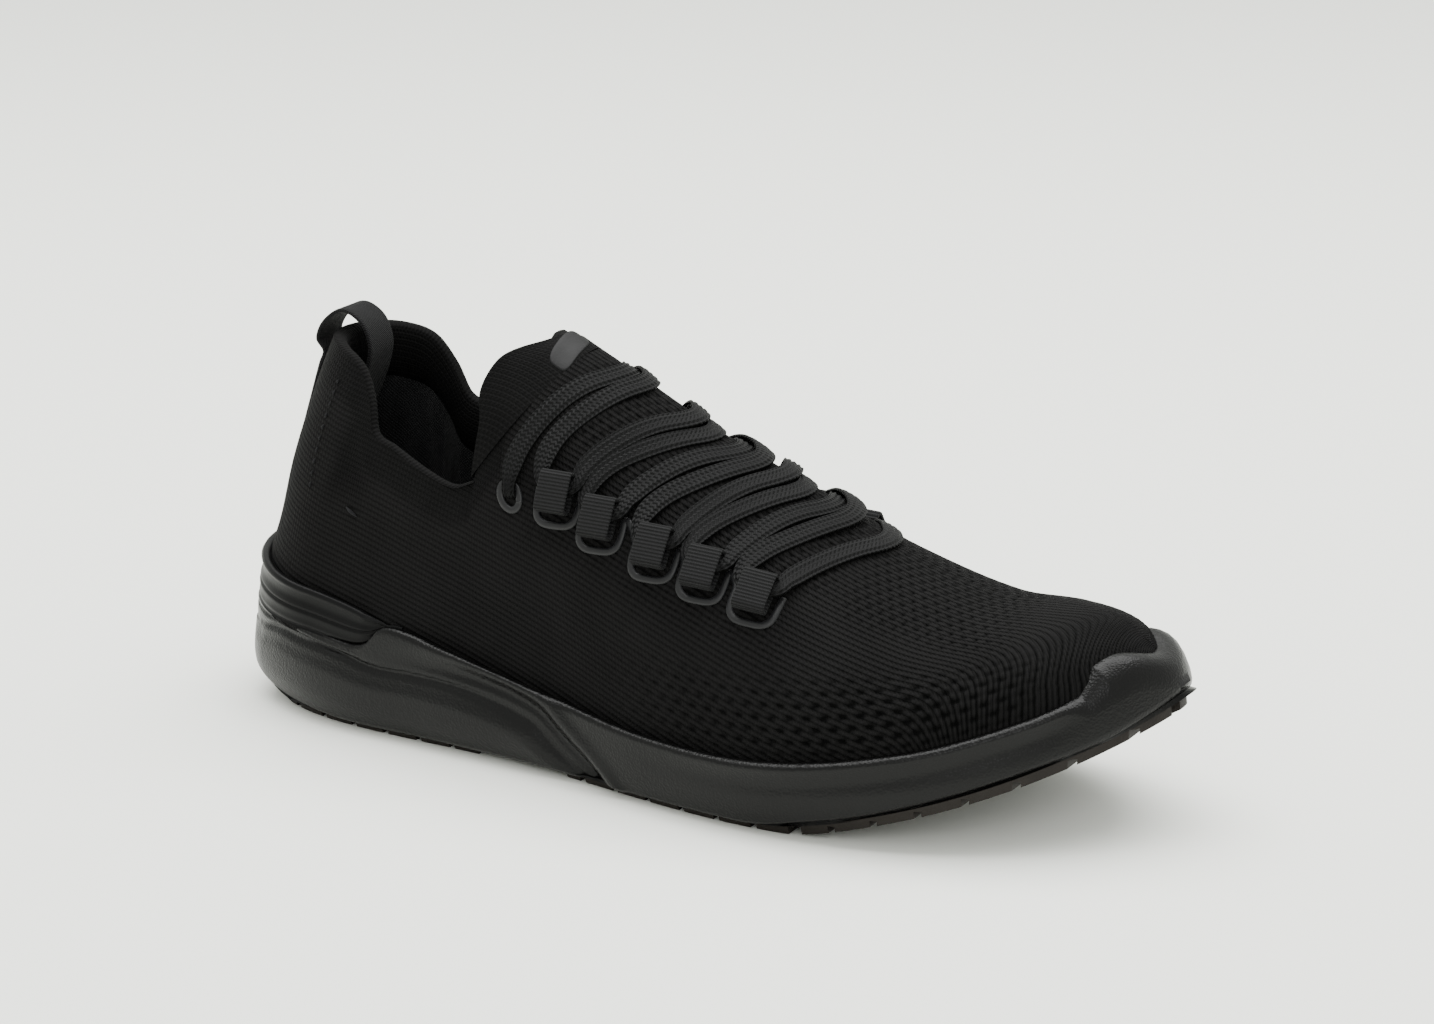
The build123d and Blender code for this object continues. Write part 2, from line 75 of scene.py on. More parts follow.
SOLE_LATERAL = [(4, -17), (15, -28.5), (40, -38), (80, -41), (120, -44.5), (160, -52.5),
                (200, -56), (236, -49.5), (262, -37.5), (282, -21), (294, -6)]
SOLE_MEDIAL = [(294, 25), (280, 36.5), (255, 46.5), (225, 49.5), (195, 46), (160, 38),
               (120, 33), (80, 34.5), (40, 35), (15, 28), (4, 18)]
SOLE_MIDDLE = [(0, 0), (40, -1.5), (80, -3.2), (120, -5.7), (160, -7.2), (200, -4.8),
               (236, -0.5), (262, 4), (282, 7.5), (300, 10)]
SOLE_DRAW = [(-2, 4.5), (8, 1.2), (22, 0), (38, 1.2), (62, 6.5)]
GROUND = [(-4, 18), (2, 10.8), (8, 5.5), (15, 2), (24, 0), (40, 0), (180, 0), (200, 0), (222, 4),
          (243, 10.5), (262, 17.5), (280, 25.5), (293, 32.5), (304, 40)]
OUTSOLE_THICK = 3.0
BED = [(-5, 31), (40, 30), (80, 27), (120, 21.5), (160, 17), (200, 16.5), (240, 22), (265, 29.5),
       (285, 36.5), (304, 43)]
RIM = [(-5, 34), (15, 32), (35, 30), (52, 27.5), (59, 29.2), (64, 34.3), (72, 34.4), (84, 32.2),
       (120, 26), (160, 21.5), (200, 22.3), (240, 29.5), (268, 38.5), (281, 44)]
CAGE_TOP = [(-5, 46.5), (8, 46), (23, 43.5), (40, 41), (54, 38), (63.5, 34.5)]
BUMPER = [(286, 50.5), (292, 53), (299, 50), (305, 44)]
UPPER_BASE = [(85, 32.5), (120, 26), (160, 21.5), (200, 22.3), (240, 28.5), (268, 34), (284, 36),
              (295, 36)]
UPPER_LATERAL = [(90, -36.5), (120, -40), (160, -48), (200, -52), (235, -46.5), (258, -36),
                 (273, -24.5), (284, -12), (291, -1), (295, 5)]
UPPER_MEDIAL = [(90, 31), (120, 30), (160, 35), (200, 43), (235, 45.5), (258, 41), (273, 34.5),
                (284, 27.5), (291, 20.5), (295, 15)]
RIDGE_HEIGHT = [(85, 133), (100, 123), (120, 112.5), (150, 96.5), (180, 83), (210, 69.5),
                (240, 60), (262, 60), (278, 58), (287, 52), (292, 47.5), (295, 44)]
RIDGE_OFFSET = [(85, 2), (150, 4), (200, 6), (240, 8), (270, 9.5), (295, 10)]
HEEL_LINE = [(5, 4), (30, 4), (46, 6.5), (56, 9.5), (74, 14), (93, 20), (105, 24), (116, 28.5)]
HEEL_LATERAL = [(5, 36), (45, 35.5), (60, 33), (75, 31), (90, 27.5), (106, 22), (116, 19.5)]
HEEL_MEDIAL = [(5, 32), (45, 32), (60, 30.5), (75, 29), (90, 26.5), (106, 22), (116, 19.5)]
HEEL_ROUNDING = [(5, 33), (60, 30), (116, 22)]
COLLAR = [(26, 113), (38, 111), (47, 107), (52, 99), (55, 90), (62, 86.5), (75, 81), (85, 78.5),
          (92, 81)]
TONGUE_EDGE = [(91, 82.5), (91, 90), (91, 98), (89.5, 106), (92, 114), (97, 119), (103, 122)]
LATERAL = -1
MEDIAL = 1
SIDE_NAMES = {LATERAL: "lateral", MEDIAL: "medial"}

# Where the wing of foam ends over the heel block, on the sole's side: station, z.
WING_GROOVE = [(12, 24.3), (22, 25.6), (30, 25.2), (46, 24.1), (61, 21.7), (75, 21.9), (90, 21.4),
               (104, 19.5), (111, 18), (118, 15.8), (121.5, 13.4), (125, 10.6), (129, 7.8),
               (133, 5.1), (137, 1.7), (140, -2)]


def place(points):
    """Design points in mm to the frame's metres."""
    shift = np.array([CENTRING[0] - LENGTH / 2, CENTRING[1], 0.0])
    return (np.asarray(points, float) + shift) / 1000


def value_at(table, where):
    """Smooth curve through a table's points, read at many places."""
    xs = np.array([p[0] for p in table], float)
    ys = np.array([p[1] for p in table], float)
    before = np.maximum(np.arange(len(xs)) - 1, 0)
    after = np.minimum(np.arange(len(xs)) + 1, len(xs) - 1)
    slopes = (ys[after] - ys[before]) / (xs[after] - xs[before])
    where = np.asarray(where, float)
    i = np.clip(np.searchsorted(xs, where, side="right") - 1, 0, len(xs) - 2)
    run = xs[i + 1] - xs[i]
    t = (where - xs[i]) / run
    c = np.clip(t, 0, 1)
    value = ys[i] * (1 + 2 * c) * (1 - c) ** 2 + run * slopes[i] * c * (1 - c) ** 2
    value += ys[i + 1] * c * c * (3 - 2 * c) - run * slopes[i + 1] * c * c * (1 - c)
    value += np.where(t < 0, slopes[i] * run * t, 0)
    value += np.where(t > 1, slopes[i + 1] * run * (t - 1), 0)
    return value


def ramp(value, start, end):
    """0 before start, 1 after end, smooth between."""
    t = np.clip((np.asarray(value, float) - start) / (end - start), 0, 1)
    return t * t * (3 - 2 * t)


def hill(value, middle, width):
    return np.exp(-((np.asarray(value, float) - middle) / width) ** 2)


def unit(vectors):
    return vectors / np.maximum(np.linalg.norm(vectors, axis=-1, keepdims=True), 1e-9)


# ---------------- the upper's surface
def vamp_parts(station, side):
    edge = value_at(UPPER_MEDIAL if side > 0 else UPPER_LATERAL, station)
    middle = value_at(RIDGE_OFFSET, station)
    base = value_at(UPPER_BASE, station)
    return middle, np.abs(edge - middle), base, value_at(RIDGE_HEIGHT, station) - base


def vamp(station, angle, side, inset=0.0):
    """Point of the front upper; the angle is 0 at the sole and 90 at the ridge."""
    station, angle = np.broadcast_arrays(np.asarray(station, float), np.asarray(angle, float))
    middle, half, base, height = vamp_parts(station, side)
    a = np.radians(np.clip(angle, 0, 90))
    y = middle + side * (half - inset) * np.cos(a) ** (2 / 1.8)
    z = base + (height - inset) * np.sin(a) ** (2 / 2.2)
    return np.stack([station, y, z], -1)


def angle_at(station, z, side):
    _, _, base, height = vamp_parts(station, side)
    rise = np.clip((z - base) / height, 0, 1)
    return np.degrees(np.arcsin(rise ** 1.1))


def side_half_width(station, z, side):
    """Half width of the rear upper, easing from the heel's shape into the vamp's."""
    back = value_at(HEEL_LINE, z)
    t = np.clip((station - back) / value_at(HEEL_ROUNDING, z), 0, 1)
    heel = value_at(HEEL_MEDIAL if side > 0 else HEEL_LATERAL, z) * np.sqrt(1 - (1 - t) ** 2)
    middle, half, _, _ = vamp_parts(np.maximum(station, 90), side)
    _, _, base, height = vamp_parts(np.full_like(station, REAR_FRONT), side)
    rise = np.clip((z - base) / height, 0, 0.98)
    front = half * (1 - rise ** 2.2) ** (1 / 1.8) + side * middle
    ease = ramp(station, 50, 92)
    return heel * (1 - ease) + front * ease


def rear(share, z, side):
    """Point of the rear upper; the share is 0 down the back of the heel and 1 at the front."""
    share, z = np.broadcast_arrays(np.asarray(share, float), np.asarray(z, float))
    back = value_at(HEEL_LINE, z)
    station = back + (REAR_FRONT - back) * share ** 2 * (1.6 - 0.6 * share)
    return np.stack([station, side * side_half_width(station, z, side), z], -1)


def rear_normal(share, z, side):
    share = np.maximum(share, 0.02)
    along = rear(share + 0.01, z, side) - rear(share - 0.01, z, side)
    up = rear(share, z + 1, side) - rear(share, z - 1, side)
    normal = np.cross(along, up) * -side
    return unit(normal)


def vamp_normal(station, angle, side):
    angle = np.clip(angle, 1, 88.5)
    along = vamp(station + 1, angle, side) - vamp(station - 1, angle, side)
    up = vamp(station, angle + 1, side) - vamp(station, angle - 1, side)
    return unit(np.cross(along, up) * -side)


def off_rear(shares, z, side, distance, normal_z=None):
    """Line beside the rear upper, square to it; its point at the back of the heel stays central."""
    normal = rear_normal(shares, z if normal_z is None else normal_z, side)
    normal[0, 1] = 0
    return rear(shares, z, side) + unit(normal) * distance[:, None]


def collar_height(share, side):
    """Height at which a line of constant share meets the collar's edge."""
    low = np.full_like(share, 40.0)
    high = np.full_like(share, 125.0)
    for _ in range(40):
        mid = (low + high) / 2
        above = mid > value_at(COLLAR, rear(share, mid, side)[..., 0])
        high = np.where(above, mid, high)
        low = np.where(above, low, mid)
    return (low + high) / 2


def snap(points, lift=0.0):
    """Design points moved onto the front upper's surface, and its normals there."""
    points = np.asarray(points, float)
    station = points[:, 0]
    out = np.zeros_like(points)
    normals = np.zeros_like(points)
    for side in (LATERAL, MEDIAL):
        middle, half, base, height = vamp_parts(station, side)
        mine = (points[:, 1] - middle) * side >= 0
        across = np.clip(np.abs(points[:, 1] - middle) / half, 0, None) ** 0.9
        rise = np.clip((points[:, 2] - base) / height, 0, None) ** 1.1
        angle = np.degrees(np.arctan2(rise, across))
        normal = vamp_normal(station, angle, side)
        out[mine] = (vamp(station, angle, side) + normal * lift)[mine]
        normals[mine] = normal[mine]
    return out, normals


# ---------------- meshes
def grid_faces(rows, columns, wrap=False, flip=False):
    faces = []
    for r in range(rows - 1):
        for c in range(columns if wrap else columns - 1):
            d = (c + 1) % columns
            quad = (r * columns + c, r * columns + d, (r + 1) * columns + d, (r + 1) * columns + c)
            faces.append(quad[::-1] if flip else quad)
    return faces


def sheet(grid, uv=None, wrap=False, flip=False):
    """Rows of design points as one (points, faces, uv) piece."""
    grid = np.array(grid)
    rows, columns = grid.shape[:2]
    uv = np.zeros((rows, columns, 2)) if uv is None else np.array(uv)
    return grid.reshape(-1, 3), grid_faces(rows, columns, wrap, flip), uv.reshape(-1, 2)


def add_mesh(name, points, faces, material, uv=None, marks=None, weld=0.0):
    """New object from design points; uv and marks hold one value for each point."""
    mesh = bpy.data.meshes.new(name)
    mesh.from_pydata(place(points).tolist(), [], faces)
    loops = np.zeros(len(mesh.loops), np.int32)
    mesh.loops.foreach_get("vertex_index", loops)
    if uv is not None:
        layer = mesh.uv_layers.new(name="Fabric")
        layer.data.foreach_set("uv", np.asarray(uv, np.float32)[loops].ravel())
    for key, values in (marks or {}).items():
        attribute = mesh.attributes.new(key, "FLOAT", "POINT")
        attribute.data.foreach_set("value", np.asarray(values, np.float32).ravel())
    if weld:
        shape = bmesh.new()
        shape.from_mesh(mesh)
        bmesh.ops.remove_doubles(shape, verts=shape.verts, dist=weld / 1000)
        bmesh.ops.dissolve_degenerate(shape, edges=shape.edges, dist=1e-7)
        shape.to_mesh(mesh)
        shape.free()
    mesh.polygons.foreach_set("use_smooth", [True] * len(mesh.polygons))
    mesh.materials.append(material)
    obj = bpy.data.objects.new(name, mesh)
    bpy.context.collection.objects.link(obj)
    return obj


def settle(obj, body, slot, *nodes):
    """The piece moves with a body and stands in for CAD nodes; the slot is not used."""
    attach(obj, body)
    if nodes:
        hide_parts(*nodes)


def run_length(curve):
    """Length along a curve up to each of its points."""
    steps = np.linalg.norm(np.diff(curve, axis=0), axis=1)
    return np.concatenate([[0], np.cumsum(steps)])


def resample(curve, count):
    """Curve points spaced evenly along its length."""
    length = run_length(curve)
    even = np.linspace(0, length[-1], count)
    return np.stack([np.interp(even, length, curve[:, k]) for k in range(curve.shape[1])], -1)


def smooth_path(points, step=0.8, closed=False):
    """Smooth curve through design points, resampled evenly."""
    points = np.asarray(points, float)
    if closed:
        points = np.vstack([points[-2:], points, points[:3]])
    gaps = np.linalg.norm(np.diff(points, axis=0), axis=1)
    key = np.concatenate([[0], np.cumsum(np.maximum(gaps, 1e-6))])
    start, end = (key[2], key[-3]) if closed else (0, key[-1])
    where = np.linspace(start, end, 40 * len(points))
    dense = np.stack([value_at(list(zip(key, points[:, k])), where) for k in range(3)], -1)
    length = np.linalg.norm(np.diff(dense, axis=0), axis=1).sum()
    return resample(dense, max(4, int(length / step)))


def sweep(path, normals, profile, widths=1.0, heights=1.0):
    """Closed profile carried along a path; its first axis lies across, its second along normals."""
    count = len(path)
    tangent = unit(np.gradient(path, axis=0))
    across = unit(np.cross(tangent, normals))
    up = unit(np.cross(across, tangent))
    widths = np.broadcast_to(widths, (count,))[:, None, None]
    heights = np.broadcast_to(heights, (count,))[:, None, None]
    ring = np.asarray(profile, float)
    points = path[:, None] + across[:, None] * ring[None, :, :1] * widths
    points = points + up[:, None] * ring[None, :, 1:2] * heights
    size = len(ring)
    faces = grid_faces(count, size, wrap=True)
    faces.append(tuple(range(size)))
    faces.append(tuple(reversed(range((count - 1) * size, count * size))))
    uv = np.stack([np.repeat(run_length(path), size), np.tile(ring[:, 0], count)], -1)
    return points.reshape(-1, 3), faces, uv


def rounded_bar(width, thick, count=28, power=4.0):
    """Flat bar's outline with rounded edges, round the origin."""
    a = np.linspace(0, 2 * math.pi, count, endpoint=False)
    x = np.sign(np.cos(a)) * np.abs(np.cos(a)) ** (2 / power) * width / 2
    z = np.sign(np.sin(a)) * np.abs(np.sin(a)) ** (2 / power) * thick / 2
    return np.stack([x, z], -1)


def merged(parts):
    """Several (points, faces, uv) pieces as one."""
    points, faces, uv = [], [], []
    count = 0
    for p, f, t in parts:
        points.append(p)
        uv.append(t)
        faces += [tuple(k + count for k in face) for face in f]
        count += len(p)
    return np.vstack(points), faces, np.vstack(uv)


# ---------------- materials
class Finish:
    """A Principled material whose colour, roughness and bump come from a small node graph."""

    def __init__(self, name, roughness, sheen=0.0, specular=0.5):
        self.material = bpy.data.materials.new(name)
        self.material.use_nodes = True
        self.tree = self.material.node_tree
        self.shader = self.tree.nodes["Principled BSDF"]
        self.shader.inputs["Roughness"].default_value = roughness
        self.shader.inputs["Specular IOR Level"].default_value = specular
        self.shader.inputs["Sheen Weight"].default_value = sheen
        self.shader.inputs["Sheen Roughness"].default_value = 0.45

    def put(self, value, socket):
        if isinstance(value, bpy.types.NodeSocket):
            self.tree.links.new(value, socket)
        else:
            socket.default_value = value

    def math(self, operation, a, b=0.0, clamp=False):
        node = self.tree.nodes.new("ShaderNodeMath")
        node.operation = operation
        node.use_clamp = clamp
        self.put(a, node.inputs[0])
        self.put(b, node.inputs[1])
        return node.outputs[0]

    def add(self, a, b):
        return self.math("ADD", a, b)

    def times(self, a, b):
        return self.math("MULTIPLY", a, b)

    def wave(self, turns):
        return self.math("SINE", self.times(turns, 2 * math.pi))

    def tent(self, turns):
        """0 in the middle of each turn, 1 at its ends."""
        part = self.math("FRACT", turns)
        return self.times(self.math("ABSOLUTE", self.math("SUBTRACT", part, 0.5)), 2.0)

    def fabric(self):
        node = self.tree.nodes.new("ShaderNodeUVMap")
        node.uv_map = "Fabric"
        split = self.tree.nodes.new("ShaderNodeSeparateXYZ")
        self.tree.links.new(node.outputs[0], split.inputs[0])
        return split.outputs[0], split.outputs[1]

    def mark(self, name):
        node = self.tree.nodes.new("ShaderNodeAttribute")
        node.attribute_name = name
        return node.outputs["Fac"]

    def noise(self, scale, detail=2.0):
        where = self.tree.nodes.new("ShaderNodeTexCoord")
        node = self.tree.nodes.new("ShaderNodeTexNoise")
        node.inputs["Scale"].default_value = scale
        node.inputs["Detail"].default_value = detail
        self.tree.links.new(where.outputs["Object"], node.inputs["Vector"])
        return node.outputs["Fac"]

    def pebbles(self, scale):
        where = self.tree.nodes.new("ShaderNodeTexCoord")
        node = self.tree.nodes.new("ShaderNodeTexVoronoi")
        node.inputs["Scale"].default_value = scale
        self.tree.links.new(where.outputs["Object"], node.inputs["Vector"])
        return node.outputs["Distance"]

    def colour(self, factor, dark, light):
        node = self.tree.nodes.new("ShaderNodeMix")
        node.data_type = "RGBA"
        dark_socket, light_socket = [s for s in node.inputs if s.type == "RGBA"]
        dark_socket.default_value = (*dark, 1)
        light_socket.default_value = (*light, 1)
        self.put(factor, node.inputs["Factor"])
        colour_output = [s for s in node.outputs if s.type == "RGBA"][0]
        self.tree.links.new(colour_output, self.shader.inputs["Base Color"])

    def roughness(self, value):
        self.put(value, self.shader.inputs["Roughness"])

    def bump(self, height, distance, strength=1.0):
        node = self.tree.nodes.new("ShaderNodeBump")
        node.inputs["Strength"].default_value = strength
        node.inputs["Distance"].default_value = distance / 1000
        self.put(height, node.inputs["Height"])
        self.tree.links.new(node.outputs[0], self.shader.inputs["Normal"])
        return self.material


def make_knit():
    f = Finish("knit", 0.8, sheen=0.005, specular=0.05)
    u, v = f.fabric()
    calm = f.mark("calm")
    lively = f.math("SUBTRACT", 1.0, calm)
    tent = f.tent(f.times(v, 1 / 1.7))
    rib = f.math("SUBTRACT", 1.0, f.times(tent, tent))
    stitch = f.wave(f.add(f.times(u, 1 / 1.3), f.times(tent, 0.45)))
    fine = f.wave(f.times(v, 1 / 0.85))
    grain = f.noise(900, 3.0)
    height = f.add(f.times(rib, f.add(f.times(lively, 0.8), 0.12)), f.times(stitch, 0.18))
    height = f.add(height, f.times(f.times(fine, calm), 0.12))
    height = f.add(height, f.times(grain, 0.35))
    # painted shade: the knit's holes, dimples, chevrons and rib grooves are darkened in the colour through
    # this mark
    pit_shade_amount = f.times(f.mark("painted_pit_shade"), 0.92)
    # painted shade in the rib grooves: rib crests and stitches are painted lighter than the grooves
    # between them; the noise is random tone
    rib_light_and_tone = f.add(f.times(rib, f.add(f.times(lively, 0.35), 0.3)), f.times(f.noise(60), 0.4))
    tone = f.math("SUBTRACT", f.add(rib_light_and_tone, f.times(stitch, 0.06)), pit_shade_amount, True)
    f.colour(tone, (0.0002, 0.0002, 0.0002), (0.0078, 0.0075, 0.0076))
    return f.bump(height, 0.42)


def make_foam():
    f = Finish("midsole_foam", 0.42, specular=0.17)
    grain = f.add(f.times(f.pebbles(1500), 0.7), f.times(f.noise(700), 0.5))
    wear = f.noise(25)
    f.colour(wear, (0.0008, 0.0008, 0.0009), (0.002, 0.0019, 0.0019))
    f.roughness(f.add(f.times(wear, 0.12), 0.25))
    return f.bump(grain, 0.12)


def make_rubber():
    f = Finish("outsole_rubber", 0.7, specular=0.2)
    f.colour(f.noise(120), (0.006, 0.0045, 0.0035), (0.013, 0.010, 0.008))
    f.roughness(f.add(f.times(f.noise(300), 0.2), 0.55))
    return f.bump(f.noise(1400), 0.12)


def make_plastic(name, dark, light, roughness, specular=0.5, grain=0.05):
    f = Finish(name, roughness, specular=specular)
    f.colour(f.noise(45), dark, light)
    f.roughness(f.add(f.times(f.noise(200), 0.12), roughness - 0.05))
    return f.bump(f.noise(1800), grain)


def make_webbing():
    f = Finish("loop_webbing", 0.72, sheen=0.012, specular=0.12)
    u, v = f.fabric()
    rib = f.tent(f.times(u, 1 / 1.05))
    thread = f.wave(f.times(v, 1 / 0.45))
    # painted shade: the webbing is painted darker in the grooves between its ribs and lighter on their
    # crests
    f.colour(f.math("SUBTRACT", 1.0, rib), (0.0003, 0.0003, 0.0003), (0.0135, 0.0135, 0.0142))
    return f.bump(f.add(f.times(rib, -0.6), f.times(thread, 0.3)), 0.16)


def make_lace():
    f = Finish("lace", 0.6, sheen=0.004, specular=0.1)
    u, v = f.fabric()
    lane = f.times(v, 4.0 / LACE_WIDTH)
    tent = f.tent(lane)
    stitch = f.wave(f.add(f.times(u, 1 / 1.5), f.times(tent, 0.5)))
    height = f.add(f.times(tent, -0.6), f.times(stitch, 0.4))
    # painted shade: the lace is painted darker in the grooves between its lanes, and lighter where its
    # stitches stand up
    groove = f.math("POWER", tent, 5.0)
    tone = f.math("SUBTRACT", f.add(f.times(stitch, 0.28), 0.6), f.times(groove, 0.6), True)
    f.colour(tone, (0.0002, 0.0002, 0.0002), (0.0052, 0.0052, 0.0055))
    return f.bump(height, 0.22)


def make_weave(name, dark, light, pitch, sheen=0.03):
    """Twill weave: one set of slanting lines over a fainter one across it."""
    f = Finish(name, 0.82, sheen=sheen, specular=0.12)
    u, v = f.fabric()
    twill = f.wave(f.times(f.add(u, v), 1 / pitch))
    cross = f.wave(f.times(f.math("SUBTRACT", u, v), 1 / pitch))
    # partly painted shade: the twill's raised lines are painted lighter than the grooves between them; the
    # noise is random tone
    f.colour(f.add(f.times(twill, 0.3), f.times(f.noise(80), 0.7)), dark, light)
    return f.bump(f.add(twill, f.times(cross, 0.4)), 0.12)


BLACK = (0.002, 0.002, 0.0022)
KNIT = make_knit()
FOAM = make_foam()
RUBBER = make_rubber()
CAGE = make_plastic("cage_plastic", (0.0012, 0.0012, 0.0013), (0.0025, 0.0025, 0.0027), 0.42, 0.1)
FILM = make_plastic("eyestay_film", (0.005, 0.005, 0.0056), (0.0085, 0.0085, 0.0095), 0.38, 0.26)
MARK = make_plastic("patch_film", (0.003, 0.003, 0.0032), (0.005, 0.005, 0.0055), 0.48, 0.16)
TIP = make_plastic("aglet", (0.01, 0.01, 0.01), (0.02, 0.02, 0.02), 0.25)
STIFFENER = make_plastic("stiffener", (0.03, 0.03, 0.03), (0.05, 0.05, 0.05), 0.7)
WEBBING = make_webbing()
LACE = make_lace()
TAPE = make_weave("tape", BLACK, (0.011, 0.011, 0.012), 0.8)
LINING = make_weave("lining", BLACK, (0.026, 0.026, 0.028), 1.1, sheen=0.06)
SOCKLINER = make_weave("sockliner", BLACK, (0.022, 0.022, 0.024), 1.4)
BOARD = make_weave("board", (0.2, 0.2, 0.19), (0.26, 0.26, 0.25), 1.6, sheen=0.0)
THREAD = make_weave("thread", (0.008, 0.008, 0.009), (0.018, 0.018, 0.02), 0.5)


def flex(obj):
    """Bakes the piece's transform into its mesh."""
    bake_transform(obj)


# ---------------- camera, light and floor, in metres
CAMERA_AZIMUTH = 29          # degrees from the lateral side towards the toe
CAMERA_ELEVATION = 17
CAMERA_DISTANCE = 1.150
CAMERA_TARGET = (0.00073, 0.01228, 0.070)
SENSOR_WIDTH = 36            # mm, as is the lens
LENS = 99.16
FLOOR_GAP = 0.0002           # how far the floor lies below the sole, so that the two don't flicker


def aimed(name, data, location, direction):
    """New object that looks along a direction."""
    obj = bpy.data.objects.new(name, data)
    obj.location = location
    obj.rotation_mode = "QUATERNION"
    obj.rotation_quaternion = direction.to_track_quat("-Z", "Y")
    bpy.context.collection.objects.link(obj)
    return obj


def make_camera():
    azimuth = math.radians(CAMERA_AZIMUTH)
    elevation = math.radians(CAMERA_ELEVATION)
    back = Vector((math.sin(azimuth) * math.cos(elevation), -math.cos(azimuth) * math.cos(elevation),
                   math.sin(elevation)))
    data = bpy.data.cameras.new("camera")
    data.sensor_width = SENSOR_WIDTH
    data.lens = LENS
    place_at = Vector(CAMERA_TARGET) + back * CAMERA_DISTANCE
    bpy.context.scene.camera = aimed("camera", data, place_at, -back)


def add_light(name, location, aim, size, energy):
    data = bpy.data.lights.new(name, "AREA")
    data.shape = "RECTANGLE"
    data.size, data.size_y = size
    data.energy = energy
    aimed(name, data, location, Vector(aim) - Vector(location))


def make_studio():
    world = bpy.data.worlds.new("studio")
    world.use_nodes = True
    background = world.node_tree.nodes["Background"]
    background.inputs["Color"].default_value = (0.93, 0.95, 0.9, 1)
    background.inputs["Strength"].default_value = 1.42
    bpy.context.scene.world = world
    add_light("top", (-0.1, 0.25, 1.5), (0, 0, 0), (2.0, 1.4), 60)
    add_light("front", (0.9, -1.6, 1.1), (0, 0, 0.04), (1.0, 0.8), 10)
    floor_finish = Finish("floor", 0.9, specular=0.1)
    floor_finish.colour(floor_finish.noise(3), (0.87, 0.88, 0.835), (0.88, 0.89, 0.845))
    reach = 6000.0               # mm
    corners = [(-reach, -reach, 0), (reach, -reach, 0), (reach, reach, 0), (-reach, reach, 0)]
    floor = add_mesh("floor", corners, [(0, 1, 2, 3)], floor_finish.material)
    floor.location.z = -FLOOR_GAP


# ---------------- upper
SKIN_ROWS = 122
REAR_COLUMNS = 116
VAMP_COLUMNS = 252
VAMP_FRONT = 293.0
HIDDEN = 3.5                 # how far the upper goes down behind the sole's edge
JOIN_COLUMNS = 16            # columns each side of the rear's end that are eased into each other
JOIN_ROUNDS = 60
BUMPER_BITE = 44             # height at which the bumper covers the knit, from BUMPER_START on
BUMPER_START = 281


def fold_height(station):
    """Height of the tongue's fold line."""
    slope = (TONGUE_HINGE[1] - TONGUE_ROOT[1]) / (TONGUE_HINGE[0] - TONGUE_ROOT[0])
    return TONGUE_ROOT[1] + (station - TONGUE_ROOT[0]) * slope


def skin_columns(side):
    """Lines up the upper's side from the sole to the collar, the tongue's fold or the ridge."""
    columns = []
    shares = np.linspace(0, 1, REAR_COLUMNS)[:-1]
    tops = collar_height(shares, side)
    for share, top in zip(shares, tops):
        foot = rear(share, 32.0, side)[0]
        low = value_at(RIM, foot) - HIDDEN
        columns.append(resample(rear(share, np.linspace(low, top, 160), side), SKIN_ROWS))
    for station in np.linspace(REAR_FRONT, VAMP_FRONT, VAMP_COLUMNS):
        top = 90.0
        if station < TONGUE_HINGE[0]:
            top = float(angle_at(station, fold_height(station), side))
        arch = vamp(station, np.linspace(0, top, 200), side)
        sink = arch[:1] - np.array([[0, 0, HIDDEN]])
        columns.append(resample(np.vstack([sink, arch]), SKIN_ROWS))
    return np.array(columns)


def cells(u, v, wide, tall):
    """Staggered cells: places within a cell, from -0.5 to 0.5 each way."""
    row = np.floor(v / tall)
    a = u / wide + 0.5 * (row % 2)
    return a - np.floor(a) - 0.5, v / tall - row - 0.5


